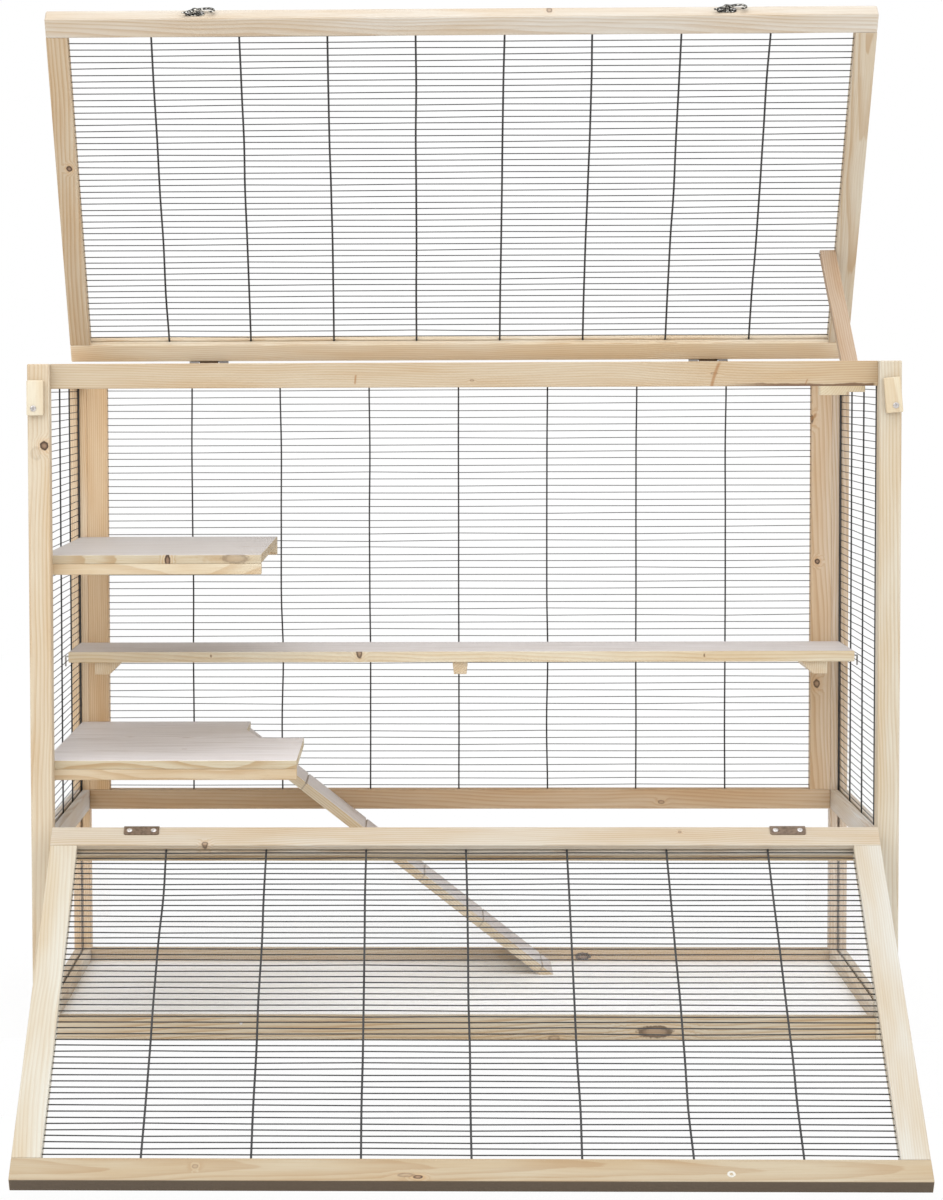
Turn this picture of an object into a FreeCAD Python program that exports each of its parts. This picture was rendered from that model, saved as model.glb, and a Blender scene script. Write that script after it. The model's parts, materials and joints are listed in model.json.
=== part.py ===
import FreeCAD, Part
import math
import os

# Wooden small-animal house: a mesh cage with a lid, a drop-down front door, shelves and a ramp.
# Millimetres. +Z is up, -Y is the front, +X is to the right as seen from the front.
# The origin is the middle of the flat underside. The lid stands open on its prop and the door
# hangs open, as in the photograph.

os.makedirs("parts", exist_ok=True)
document = FreeCAD.newDocument("rodent_house")
sheet = document.addObject("Spreadsheet::Sheet", "Sizes")
nodes = {}


class Term:
    """A size with both its expression on the sheet and its value, so that sums keep the two together."""

    def __init__(self, text, number):
        self.text = text
        self.number = number

    def combined(self, other, sign, result):
        return Term(f"({self.text} {sign} {as_term(other).text})", result)

    def __add__(self, other):
        return self.combined(other, "+", self.number + as_term(other).number)

    def __sub__(self, other):
        return self.combined(other, "-", self.number - as_term(other).number)

    def __mul__(self, other):
        return self.combined(other, "*", self.number * as_term(other).number)

    def __truediv__(self, other):
        return self.combined(other, "/", self.number / as_term(other).number)

    def __neg__(self):
        return Term(f"(0 - {self.text})", -self.number)


def as_term(value):
    """A plain number as a term; a term as it is."""
    return value if isinstance(value, Term) else Term(str(value), value)


def size(name, number):
    """Write one driving size on the sheet and return it as a term."""
    row = str(len(sizes_written) + 1)
    sheet.set("A" + row, name)
    sheet.set("B" + row, str(number))
    sheet.setAlias("B" + row, name)
    sizes_written.append(name)
    return Term("Sizes." + name, number)


sizes_written = []

# Carcass
width = size("width", 1150)
depth = size("depth", 580)
height = size("height", 900)
post_face = size("post_face", 29)
post_depth = size("post_depth", 29)
side_thick = size("side_thick", 25)
back_thick = size("back_thick", 25)
rail_height = size("rail_height", 29)
top_rail_height = size("top_rail_height", 33)
mid_rail_level = size("mid_rail_level", 240)
back_stile_face = size("back_stile_face", 30)
floor_thick = size("floor_thick", 12)
groove_width = size("groove_width", 3.4)
groove_depth = size("groove_depth", 9.5)
pane_thick = size("pane_thick", 3)
seat_gap = size("seat_gap", 0.3)
running_gap = size("running_gap", 0.4)
cut_overrun = size("cut_overrun", 5)

# Wire mesh
cross_wire = size("cross_wire", 2.6)
line_wire = size("line_wire", 1.8)
mesh_cell_width = size("mesh_cell_width", 131.5)
lid_cell_width = size("lid_cell_width", 122.6)
mesh_cell_height = size("mesh_cell_height", 10.12)
side_mesh_rear_inset = size("side_mesh_rear_inset", 3.5)

# Lid, measured closed from its hinge edge
lid_length = size("lid_length", 578)
lid_thick = size("lid_thick", 24)
lid_member = size("lid_member", 30)
lid_open_angle = size("lid_open_angle", 54.7)

# Door, measured closed from its hinge edge
door_length = size("door_length", 627)
door_thick = size("door_thick", 18.5)
door_stile_face = size("door_stile_face", 35.5)
door_rail_face = size("door_rail_face", 36)
door_side_gap = size("door_side_gap", 1)
door_back_gap = size("door_back_gap", 1)
door_open_angle = size("door_open_angle", 124.1)

# Hinges
leaf_thick = size("leaf_thick", 1.3)
hinge_gap = size("hinge_gap", 3)
barrel_radius = size("barrel_radius", 2.6)
pin_radius = size("pin_radius", 1.2)
frame_bore_play = size("frame_bore_play", 0.05)
lid_hinge_width = size("lid_hinge_width", 58)
lid_hinge_leaf = size("lid_hinge_leaf", 18)
lid_hinge_place = size("lid_hinge_place", 370)
door_hinge_width = size("door_hinge_width", 47)
door_hinge_leaf = size("door_hinge_leaf", 16)
door_hinge_place = size("door_hinge_place", 426)
knuckle_gap = size("knuckle_gap", 0.5)

# Screws
screw_head_radius = size("screw_head_radius", 3.6)
screw_head_thick = size("screw_head_thick", 1.6)
screw_shank_radius = size("screw_shank_radius", 1.8)
screw_length = size("screw_length", 12)
pane_screw_length = size("pane_screw_length", 11)
frame_screw_length = size("frame_screw_length", 50)
leaf_screw_spacing = size("leaf_screw_spacing", 32)

# Turn buttons
button_length = size("button_length", 46.5)
button_width = size("button_width", 22)
button_thick = size("button_thick", 10)
button_tail = size("button_tail", 9.5)
button_screw_level = size("button_screw_level", 841.5)
button_screw_inset = size("button_screw_inset", 9)
button_lean_left = size("button_lean_left", 0)
button_lean_right = size("button_lean_right", 5)

# Prop
prop_width = size("prop_width", 22)
prop_thick = size("prop_thick", 12)
prop_place = size("prop_place", 182.3)
prop_side_inset = size("prop_side_inset", 41.5)
prop_lift = size("prop_lift", 4.3)
prop_length = size("prop_length", 316.8)
prop_turn = size("prop_turn", 89.9)
prop_lean = size("prop_lean", 0.87)
ledge_reach = size("ledge_reach", 82)
ledge_step = size("ledge_step", 46)
ledge_bearing = size("ledge_bearing", 4)
ledge_length = size("ledge_length", 26)
ledge_back = size("ledge_back", 345)
ledge_height = size("ledge_height", 13)
ledge_thin = size("ledge_thin", 9)

# Latches and keepers
latch_place = size("latch_place", 367)
latch_plate_width = size("latch_plate_width", 27)
latch_plate_height = size("latch_plate_height", 13)
latch_plate_thick = size("latch_plate_thick", 1.5)
latch_boss_radius = size("latch_boss_radius", 4.2)
latch_boss_reach = size("latch_boss_reach", 3)
latch_rivet_radius = size("latch_rivet_radius", 1.6)
latch_rivet_head = size("latch_rivet_head", 3.4)
hook_arm_length = size("hook_arm_length", 24)
hook_arm_width = size("hook_arm_width", 6)
hook_arm_thick = size("hook_arm_thick", 2)
hook_eye_radius = size("hook_eye_radius", 4.6)
hook_end_radius = size("hook_end_radius", 7)
hook_slot_width = size("hook_slot_width", 7.4)
hook_tail_length = size("hook_tail_length", 11)
keeper_width = size("keeper_width", 27)
keeper_height = size("keeper_height", 14)
keeper_inset = size("keeper_inset", 12)
keeper_knob_radius = size("keeper_knob_radius", 3.2)
keeper_knob_reach = size("keeper_knob_reach", 6)
stud_place = size("stud_place", 308)
stud_inset = size("stud_inset", 12)
stud_radius = size("stud_radius", 5)
stud_thick = size("stud_thick", 2.5)
stud_proud = size("stud_proud", 0.5)
door_mesh_shift = size("door_mesh_shift", 2.8)
base_screw_place = size("base_screw_place", 297)
base_screw_level = size("base_screw_level", 22)

# Platforms, shelf and ramp
board_thick = size("board_thick", 12)
batten_height = size("batten_height", 14.5)
batten_width = size("batten_width", 15)
platform_mesh_gap = size("platform_mesh_gap", 1)
upper_level = size("upper_level", 646)
upper_length = size("upper_length", 292)
lower_level = size("lower_level", 371)
lower_length = size("lower_length", 338)
lower_waist = size("lower_waist", 251)
lower_corner_cut = size("lower_corner_cut", 24)
lower_front_part = size("lower_front_part", 289)
shelf_level = size("shelf_level", 490)
shelf_thick = size("shelf_thick", 15)
shelf_depth = size("shelf_depth", 180)
shelf_back_gap = size("shelf_back_gap", 14)
shelf_mesh_gap = size("shelf_mesh_gap", 1)
shelf_batten_height = size("shelf_batten_height", 18)
shelf_batten_inset = size("shelf_batten_inset", 8)
end_batten_outer = size("end_batten_outer", 523)
end_batten_foot = size("end_batten_foot", 21)
end_batten_top = size("end_batten_top", 38)
middle_batten_foot = size("middle_batten_foot", 18)
middle_batten_top = size("middle_batten_top", 22)
shelf_hook_wire = size("shelf_hook_wire", 2.4)
shelf_hook_drop = size("shelf_hook_drop", 14)
shelf_hook_inset = size("shelf_hook_inset", 12)
shelf_hook_root = size("shelf_hook_root", 12)
shelf_hook_level = size("shelf_hook_level", 8)
ramp_width = size("ramp_width", 118)
ramp_thick = size("ramp_thick", 13)
ramp_run = size("ramp_run", 445)
ramp_drop = size("ramp_drop", 10)
ramp_groove_width = size("ramp_groove_width", 2.4)
ramp_groove_depth = size("ramp_groove_depth", 2.2)
ramp_groove_pitch = size("ramp_groove_pitch", 109)
ramp_groove_start = size("ramp_groove_start", 110)
document.recompute()

# Counts
BACK_CELLS = 8
SIDE_CELLS = 4
LID_CELLS = 9
DOOR_CELLS = 6
RAMP_GROOVES = 5

# Shares of a plate at which its screws stand
KEEPER_SCREW_SHARE = 0.36
LEAF_SCREW_SHARE = 0.55

# Places that follow from the sizes
front = -depth / 2
back = depth / 2
post_inner = width / 2 - post_face
side_inner = width / 2 - side_thick
front_post_back = front + post_depth
rear_post_front = back - post_depth
mid_rail_top = mid_rail_level + rail_height
top_rail_bottom = height - top_rail_height
groove_place = width / 2 - side_thick / 2
back_groove = rear_post_front + back_thick / 2
front_groove = front + post_depth / 2
base_groove_bottom = rail_height - groove_depth
lid_axis = (back + barrel_radius + seat_gap, height + hinge_gap / 2)
door_axis = (front - barrel_radius - seat_gap, mid_rail_top + hinge_gap / 2)
door_half = post_inner - door_side_gap
top_rail_front = front + door_thick + door_back_gap


def place(item, y=0, z=0, angle=None):
    """Bind where a piece stands, turned about X by the angle."""
    item.setExpression("Placement.Base.y", as_term(y).text)
    item.setExpression("Placement.Base.z", as_term(z).text)
    if angle is not None:
        item.setExpression("Placement.Rotation.Axis.x", "1")
        item.setExpression("Placement.Rotation.Axis.z", "0")
        item.setExpression("Placement.Rotation.Angle", angle.text)
    return item


def named(item, label):
    """Give a finished piece the name of its node."""
    item.Label = label
    nodes[label] = item
    return item


def box(x, y, z):
    """A box between two places along each axis, bound to the sheet."""
    item = document.addObject("Part::Box", "block")
    for side, axis, (low, high) in (("Length", "x", x), ("Width", "y", y), ("Height", "z", z)):
        item.setExpression(side, (as_term(high) - low).text)
        item.setExpression("Placement.Base." + axis, as_term(low).text)
    return item


def rod(radius, length, x, y, z, along):
    """A round rod that starts at a place and runs along +X, +Y or +Z."""
    item = document.addObject("Part::Cylinder", "rod")
    item.setExpression("Radius", as_term(radius).text)
    item.setExpression("Height", as_term(length).text)
    for axis, start in (("x", x), ("y", y), ("z", z)):
        item.setExpression("Placement.Base." + axis, as_term(start).text)
    if along != "Z":
        item.setExpression("Placement.Rotation.Axis.x", "0" if along == "X" else "-1")
        item.setExpression("Placement.Rotation.Axis.y", "1" if along == "X" else "0")
        item.setExpression("Placement.Rotation.Axis.z", "0")
        item.setExpression("Placement.Rotation.Angle", "90")
    return item


def cut(base, tools):
    """A piece with everything in tools taken away."""
    item = document.addObject("Part::Cut", "sawn")
    item.Base = base
    item.Tool = tools[0] if len(tools) == 1 else joined(tools)
    return item


def joined(pieces):
    """Pieces made one solid."""
    item = document.addObject("Part::MultiFuse", "joined")
    item.Shapes = pieces
    return item


def grouped(pieces):
    """Separate solids that share one node."""
    item = document.addObject("Part::Compound", "group")
    item.Links = pieces
    return item


def mirrored(low, high, side):
    """A span to the right of the middle, or the same span to the left."""
    return (low, high) if side > 0 else (-as_term(high), -as_term(low))


def centred(middle, span):
    """A span about its middle."""
    middle = as_term(middle)
    return (middle - span / 2, middle + span / 2)


SIDES = (("left", -1), ("right", 1))


def carcass_posts():
    """Four posts, each with the groove that holds the side mesh and the side pane."""
    for name, side in SIDES:
        groove_x = centred(groove_place * side, groove_width)
        full_height = (-cut_overrun, height + cut_overrun)
        front_post = box(mirrored(post_inner, width / 2, side), (front, front_post_back), (0, height))
        groove = box(groove_x, (front_post_back - groove_depth, front_post_back + cut_overrun), full_height)
        named(cut(front_post, [groove]), "front_post_" + name)
        rear_post = box(mirrored(side_inner, width / 2, side), (rear_post_front, back), (0, height))
        groove = box(groove_x, (rear_post_front - cut_overrun, rear_post_front + groove_depth), full_height)
        named(cut(rear_post, [groove]), "rear_post_" + name)


def front_rails():
    """Top rail set back behind the door, and the mid and base rails with the pane's grooves."""
    span = (-post_inner, post_inner)
    bay = (front, front_post_back)
    named(box(span, (top_rail_front, front_post_back), (top_rail_bottom, height)), "front_top_rail")
    groove_y = centred(front_groove, groove_width)
    mid = box(span, bay, (mid_rail_level, mid_rail_top))
    groove = box(span, groove_y, (mid_rail_level - cut_overrun, mid_rail_level + groove_depth))
    named(cut(mid, [groove]), "front_mid_rail")
    base = box(span, bay, (0, rail_height))
    groove = box(span, groove_y, (base_groove_bottom, rail_height + cut_overrun))
    named(cut(base, [groove]), "front_base_rail")


def grooved_rails(prefix, suffix, x, y, groove_x, groove_y, top_y):
    """Top, mid and base rails of one wall, with grooves for the mesh above and the pane below."""
    top = box(x, top_y, (top_rail_bottom, height))
    groove = box(groove_x, groove_y, (top_rail_bottom - cut_overrun, top_rail_bottom + groove_depth))
    named(cut(top, [groove]), prefix + "_top_rail" + suffix)
    mid = box(x, y, (mid_rail_level, mid_rail_top))
    above = box(groove_x, groove_y, (mid_rail_top - groove_depth, mid_rail_top + cut_overrun))
    below = box(groove_x, groove_y, (mid_rail_level - cut_overrun, mid_rail_level + groove_depth))
    named(cut(mid, [above, below]), prefix + "_mid_rail" + suffix)
    base = box(x, y, (0, rail_height))
    groove = box(groove_x, groove_y, (base_groove_bottom, rail_height + cut_overrun))
    named(cut(base, [groove]), prefix + "_base_rail" + suffix)


def side_and_back_walls():
    """Rails of both side walls, and rails and stiles of the back wall."""
    run = (front_post_back, rear_post_front)
    for name, side in SIDES:
        x = mirrored(side_inner, width / 2, side)
        grooved_rails("side", "_" + name, x, run, centred(groove_place * side, groove_width), run, run)
    y = (rear_post_front, rear_post_front + back_thick)
    groove_y = centred(back_groove, groove_width)
    x = (-side_inner, side_inner)
    grooved_rails("back", "", x, y, x, groove_y, (rear_post_front, back))
    stile_inner = side_inner - back_stile_face
    for name, side in SIDES:
        level = (mid_rail_top, top_rail_bottom)
        stile = box(mirrored(stile_inner, side_inner, side), y, level)
        reach = mirrored(stile_inner - cut_overrun, stile_inner + groove_depth, side)
        groove = box(reach, groove_y, level)
        named(cut(stile, [groove]), "back_stile_" + name)


def panes_and_floor():
    """Clear panes round the lower bay, and the white floor board."""
    level = (base_groove_bottom + seat_gap, mid_rail_level + groove_depth - seat_gap)
    front_span = (-post_inner + seat_gap, post_inner - seat_gap)
    named(box(front_span, centred(front_groove, pane_thick), level), "front_pane")
    back_span = (-side_inner + seat_gap, side_inner - seat_gap)
    named(box(back_span, centred(back_groove, pane_thick), level), "back_pane")
    run = (front_post_back - groove_depth + seat_gap, rear_post_front + groove_depth - seat_gap)
    panes = [box(centred(groove_place * side, pane_thick), run, level) for name, side in SIDES]
    named(grouped(panes), "side_panes")
    floor = box((-side_inner, side_inner), (front_post_back, rear_post_front), (0, floor_thick))
    named(floor, "floor_board")


def mesh_sheet(columns, rows, label):
    """One flat panel of welded wire: a sheet with a gap between each two wires, lying in XY."""
    half_cross = cross_wire.number / 2
    half_line = line_wire.number / 2

    def frame(left, right, low, high):
        corners = [(left, low), (right, low), (right, high), (left, high), (left, low)]
        return Part.makePolygon([FreeCAD.Vector(x, y, 0) for x, y in corners])

    wires = [frame(columns[0] - half_cross, columns[-1] + half_cross, rows[0] - half_line, rows[-1] + half_line)]
    for left, right in zip(columns, columns[1:]):
        for low, high in zip(rows, rows[1:]):
            wires.append(frame(left + half_cross, right - half_cross, low + half_line, high - half_line))
    face = Part.makeFace(wires, "Part::FaceMakerBullseye")
    item = document.addObject("Part::Feature", label)
    item.Shape = face.extrude(FreeCAD.Vector(0, 0, cross_wire.number))
    return named(item, label)


def row_places(low, high):
    """Line wires between two levels, one cell apart and centred in what is left over."""
    cell = mesh_cell_height.number
    count = int((high - low - line_wire.number) / cell)
    start = (low + high - count * cell) / 2
    return [start + cell * index for index in range(count + 1)]


def even_columns(count, cell):
    """Cross wires one cell apart and centred on the middle."""
    return [(index - count / 2) * cell for index in range(count + 1)]


def wall_meshes():
    """The back mesh and the two side meshes, seated in their grooves."""
    play = seat_gap.number
    seat = groove_depth.number - play
    rows = row_places(mid_rail_top.number - seat, top_rail_bottom.number + seat)
    turn = FreeCAD.Rotation(FreeCAD.Vector(1, 0, 0), 90)
    half = cross_wire.number / 2
    item = mesh_sheet(even_columns(BACK_CELLS, mesh_cell_width.number), rows, "back_mesh")
    item.Placement = FreeCAD.Placement(FreeCAD.Vector(0, back_groove.number + half, 0), turn)
    rear_wire = rear_post_front.number - side_mesh_rear_inset.number
    columns = [rear_wire - mesh_cell_width.number * index for index in range(SIDE_CELLS + 1)][::-1]
    columns.append(rear_post_front.number + seat - half)
    turn = FreeCAD.Rotation(FreeCAD.Vector(0, 1, 0), FreeCAD.Vector(0, 0, 1), FreeCAD.Vector(1, 0, 0), "XYZ")
    for name, side in SIDES:
        item = mesh_sheet(columns, rows, "side_mesh_" + name)
        start = groove_place.number * side - half
        item.Placement = FreeCAD.Placement(FreeCAD.Vector(start, 0, 0), turn)


def frame_screws(pieces):
    """The cage's screws: those given, those through the posts into the rails' ends, and the turn buttons' own."""
    head_seat = width / 2 - screw_head_thick
    levels = (rail_height / 2, mid_rail_level + rail_height / 2, height - top_rail_height / 2)
    for name, side in SIDES:
        for level in levels:
            top_rail_y = (top_rail_front + front_post_back) / 2
            front_y = top_rail_y if level is levels[2] else front_groove + post_depth / 4
            for y in (front_y, back_groove + back_thick / 4):
                shank_x = head_seat - frame_screw_length if side > 0 else -head_seat
                head_x = head_seat if side > 0 else -(width / 2)
                shank = rod(screw_shank_radius, frame_screw_length, shank_x, y, level, "X")
                head = rod(screw_head_radius, screw_head_thick, head_x, y, level, "X")
                pieces.append(joined([shank, head]))
        screw_x = (width / 2 - button_screw_inset) * side
        top = front - running_gap - button_thick - screw_head_thick
        head = rod(screw_head_radius, screw_head_thick, screw_x, top, button_screw_level, "Y")
        shank_length = screw_head_thick + button_thick + running_gap + screw_length
        shank = rod(screw_shank_radius, shank_length, screw_x, top, button_screw_level, "Y")
        pieces.append(joined([head, shank]))
    named(grouped(pieces), "frame_screws")


def turn_buttons():
    """Two wooden turn buttons on the front posts, out of the door's way; the right one stands a little turned."""
    play_y = (front - running_gap - button_thick + seat_gap, front - running_gap)
    for (name, side), lean in zip(SIDES, (button_lean_left, button_lean_right)):
        inner = (button_screw_inset - button_width) * side
        outer = button_screw_inset * side
        x = (inner, outer) if side > 0 else (outer, inner)
        block = box(x, (play_y[0] - play_y[1], 0), (-button_tail, button_length - button_tail))
        bore_length = button_thick + cut_overrun * 2
        bore = rod(screw_shank_radius + seat_gap, bore_length, 0, -button_thick - cut_overrun, 0, "Y")
        item = cut(block, [bore])
        item.setExpression("Placement.Base.x", ((width / 2 - button_screw_inset) * side).text)
        item.setExpression("Placement.Base.y", play_y[1].text)
        item.setExpression("Placement.Base.z", button_screw_level.text)
        item.setExpression("Placement.Rotation.Axis.y", "1")
        item.setExpression("Placement.Rotation.Axis.z", "0")
        item.setExpression("Placement.Rotation.Angle", (-lean).text)
        named(item, "turn_button_" + name)


def leaf(middle, span, plates, ear, bore_radius, outer):
    """A hinge leaf: its plates, its knuckles on the axis at 0, 0 with an ear to each, and the bore through them."""
    knuckle = span / 4 - knuckle_gap
    if outer:
        starts = [(middle - span / 2, knuckle), (middle + span / 2 - knuckle, knuckle)]
    else:
        starts = [(middle - span / 4 + knuckle_gap, span / 2 - knuckle_gap * 2)]
    pieces = [box((middle - span / 2, middle + span / 2), y, z) for y, z in plates]
    for start, length in starts:
        pieces.append(rod(barrel_radius, length, start, 0, 0, "X"))
        pieces.append(box((start, start + length), *ear))
    bore = rod(bore_radius, span + cut_overrun * 2, middle - span / 2 - cut_overrun, 0, 0, "X")
    return cut(joined(pieces), [bore])


def lid_hinges(pins):
    """Two butt hinges on the back: one leaf on the top rail's back face, the other on the lid's rear edge."""
    away = barrel_radius + seat_gap
    flat = (-away, leaf_thick - away)
    frame_leaves = []
    lid_leaves = []
    for name, side in SIDES:
        middle = lid_hinge_place * side
        plate = (flat, (-away - lid_hinge_leaf, -away))
        fixed = leaf(middle, lid_hinge_width, [plate], (flat, (-away, 0)), pin_radius + frame_bore_play, True)
        frame_leaves.append(place(fixed, *lid_axis))
        plate = (flat, (away, away + lid_hinge_leaf))
        moving = leaf(middle, lid_hinge_width, [plate], (flat, (0, away)), pin_radius + seat_gap, False)
        lid_leaves.append(moving)
        start = middle - lid_hinge_width / 2
        pins.append(rod(pin_radius, lid_hinge_width, start, lid_axis[0], lid_axis[1], "X"))
    named(grouped(frame_leaves), "lid_hinge_frame_leaves")
    named(place(grouped(lid_leaves), *lid_axis, -lid_open_angle), "lid_hinge_lid_leaves")


def door_hinges(pins):
    """Two wrap-round hinges under the door: one leaf on the mid rail, the other round the door's lower edge."""
    away = barrel_radius + seat_gap
    low = (-hinge_gap / 2, leaf_thick - hinge_gap / 2)
    high = (hinge_gap / 2 - leaf_thick, hinge_gap / 2)
    inside = away + door_thick
    frame_leaves = []
    door_leaves = []
    for name, side in SIDES:
        middle = door_hinge_place * side
        plate = ((away, away + door_hinge_leaf), low)
        fixed = leaf(middle, door_hinge_width, [plate], ((0, away), low), pin_radius + frame_bore_play, True)
        frame_leaves.append(place(fixed, *door_axis))
        edge = ((away, inside + leaf_thick), high)
        inner = ((inside, inside + leaf_thick), (high[0], high[1] + door_hinge_leaf))
        moving = leaf(middle, door_hinge_width, [edge, inner], ((0, away), high), pin_radius + seat_gap, False)
        door_leaves.append(moving)
        start = middle - door_hinge_width / 2
        pins.append(rod(pin_radius, door_hinge_width, start, door_axis[0], door_axis[1], "X"))
    named(grouped(frame_leaves), "door_hinge_frame_leaves")
    named(place(grouped(door_leaves), *door_axis, door_open_angle), "door_hinge_door_leaves")


def hinge_hardware():
    """All four hinges and their pins."""
    pins = []
    lid_hinges(pins)
    door_hinges(pins)
    named(grouped(pins), "hinge_pins")


# The lid's own frame: its hinge axis is at 0, 0 and the closed lid reaches to -Y
lid_edge = -(barrel_radius + seat_gap)
lid_under = hinge_gap / 2
lid_free = lid_edge - lid_length
lid_groove_z = lid_under + lid_thick / 2


def lid_frame():
    """Two rails across the full width with two stiles between them, grooved for the mesh."""
    z = (lid_under, lid_under + lid_thick)
    groove_z = centred(lid_groove_z, groove_width)
    full = (-width / 2, width / 2)
    inner = width / 2 - lid_member
    groove_x = (-inner - groove_depth, inner + groove_depth)
    rear = box(full, (lid_edge - lid_member, lid_edge), z)
    groove = box(groove_x, (lid_edge - lid_member - cut_overrun, lid_edge - lid_member + groove_depth), groove_z)
    named(place(cut(rear, [groove]), *lid_axis, -lid_open_angle), "lid_rear_rail")
    front_rail = box(full, (lid_free, lid_free + lid_member), z)
    groove_y = (lid_free + lid_member - groove_depth, lid_free + lid_member + cut_overrun)
    groove = box(groove_x, groove_y, groove_z)
    named(place(cut(front_rail, [groove]), *lid_axis, -lid_open_angle), "lid_front_rail")
    run = (lid_free + lid_member, lid_edge - lid_member)
    for name, side in SIDES:
        stile = box(mirrored(inner, width / 2, side), run, z)
        groove = box(mirrored(inner - cut_overrun, inner + groove_depth, side), run, groove_z)
        named(place(cut(stile, [groove]), *lid_axis, -lid_open_angle), "lid_stile_" + name)


def turned(axis, angle):
    """Placement that sets a piece of the lid or the door where it hangs."""
    spin = FreeCAD.Rotation(FreeCAD.Vector(1, 0, 0), angle)
    return FreeCAD.Placement(FreeCAD.Vector(0, axis[0].number, axis[1].number), spin)


def lid_mesh():
    """The lid's mesh, seated in the lid's grooves."""
    seat = groove_depth.number - seat_gap.number
    rows = row_places((lid_free + lid_member).number - seat, (lid_edge - lid_member).number + seat)
    item = mesh_sheet(even_columns(LID_CELLS, lid_cell_width.number), rows, "lid_mesh")
    flat = FreeCAD.Placement(FreeCAD.Vector(0, 0, lid_groove_z.number - cross_wire.number / 2), FreeCAD.Rotation())
    item.Placement = turned(lid_axis, -lid_open_angle.number) * flat


# The door's own frame: its hinge axis is at 0, 0 and the closed door stands up to +Z
door_outer = barrel_radius + seat_gap
door_bottom = hinge_gap / 2
door_top = door_bottom + door_length
door_groove_y = door_outer + door_thick / 2


def door_frame():
    """Two rails across the full width with two stiles between them, grooved for the mesh."""
    y = (door_outer, door_outer + door_thick)
    groove_y = centred(door_groove_y, groove_width)
    full = (-door_half, door_half)
    inner = door_half - door_stile_face
    groove_x = (-inner - groove_depth, inner + groove_depth)
    low = box(full, y, (door_bottom, door_bottom + door_rail_face))
    level = (door_bottom + door_rail_face - groove_depth, door_bottom + door_rail_face + cut_overrun)
    groove = box(groove_x, groove_y, level)
    named(place(cut(low, [groove]), *door_axis, door_open_angle), "door_hinge_rail")
    free = box(full, y, (door_top - door_rail_face, door_top))
    level = (door_top - door_rail_face - cut_overrun, door_top - door_rail_face + groove_depth)
    groove = box(groove_x, groove_y, level)
    named(place(cut(free, [groove]), *door_axis, door_open_angle), "door_free_rail")
    run = (door_bottom + door_rail_face, door_top - door_rail_face)
    for name, side in SIDES:
        stile = box(mirrored(inner, door_half, side), y, run)
        groove = box(mirrored(inner - cut_overrun, inner + groove_depth, side), groove_y, run)
        named(place(cut(stile, [groove]), *door_axis, door_open_angle), "door_stile_" + name)


def door_mesh():
    """The door's mesh, with its last cells cut short by the stiles."""
    seat = groove_depth.number - seat_gap.number
    low = (door_bottom + door_rail_face).number - seat
    high = (door_top - door_rail_face).number + seat
    end = (door_half - door_stile_face).number + seat - cross_wire.number / 2
    inside = [column + door_mesh_shift.number for column in even_columns(DOOR_CELLS, mesh_cell_width.number)]
    columns = [-end] + inside + [end]
    item = mesh_sheet(columns, row_places(low, high), "door_mesh")
    upright = FreeCAD.Rotation(FreeCAD.Vector(1, 0, 0), 90)
    middle = FreeCAD.Vector(0, door_groove_y.number + cross_wire.number / 2, 0)
    item.Placement = turned(door_axis, door_open_angle.number) * FreeCAD.Placement(middle, upright)


def door_fittings():
    """Keepers near the door's free edge, the pale stud, and the screws that hold leaves and keepers."""
    keepers = []
    screws = []
    level = door_top - keeper_inset
    plate_y = (door_outer - leaf_thick, door_outer)
    for name, side in SIDES:
        middle = latch_place * side
        plate = box(centred(middle, keeper_width), plate_y, centred(level, keeper_height))
        knob = rod(keeper_knob_radius, keeper_knob_reach, middle, door_outer - keeper_knob_reach, level, "Y")
        keepers.append(joined([plate, knob]))
        for share in (-1, 1):
            x = middle + keeper_width * share * KEEPER_SCREW_SHARE
            head = rod(screw_head_radius / 2, screw_head_thick / 2, x, plate_y[0] - screw_head_thick / 2, level, "Y")
            shank = rod(screw_shank_radius / 2, leaf_thick + screw_length, x, plate_y[0], level, "Y")
            screws.append(joined([head, shank]))
            x = door_hinge_place * side + leaf_screw_spacing * share / 2
            seat = door_outer + door_thick + leaf_thick
            z = door_bottom + door_hinge_leaf / 2
            head = rod(screw_head_radius, screw_head_thick, x, seat, z, "Y")
            shank = rod(screw_shank_radius, leaf_thick + screw_length, x, seat - leaf_thick - screw_length, z, "Y")
            screws.append(joined([head, shank]))
    named(place(grouped(keepers), *door_axis, door_open_angle), "door_keepers")
    named(place(grouped(screws), *door_axis, door_open_angle), "door_screws")
    stud_y = door_outer + door_thick + stud_proud - stud_thick
    stud = rod(stud_radius, stud_thick, stud_place, stud_y, door_top - stud_inset, "Y")
    named(place(grouped([stud]), *door_axis, door_open_angle), "door_stud")


def platform_boards():
    """Both left platforms: plain boards between the posts, the lower one cut away for the ramp."""
    left = platform_left
    y = (front_post_back, rear_post_front)
    upper = box((left, left + upper_length), y, (upper_level - board_thick, upper_level))
    named(upper, "upper_platform")
    level = (lower_level - board_thick, lower_level)
    board = box((left, left + lower_length), y, level)
    through = (level[0] - cut_overrun, level[1] + cut_overrun)
    past = left + lower_length + cut_overrun
    square = box((waist, past), (ramp_side, y[1] + cut_overrun), through)
    corner = document.addObject("Part::Wedge", "corner")
    step = y[0] + lower_front_part
    for name, value in (("Xmin", waist + lower_corner_cut), ("Xmax", past), ("X2min", waist), ("X2max", past),
                        ("Ymin", step), ("Ymax", ramp_side), ("Zmin", through[0]), ("Zmax", through[1]),
                        ("Z2min", through[0]), ("Z2max", through[1])):
        corner.setExpression(name, as_term(value).text)
    named(cut(board, [square, corner]), "lower_platform")


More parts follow.
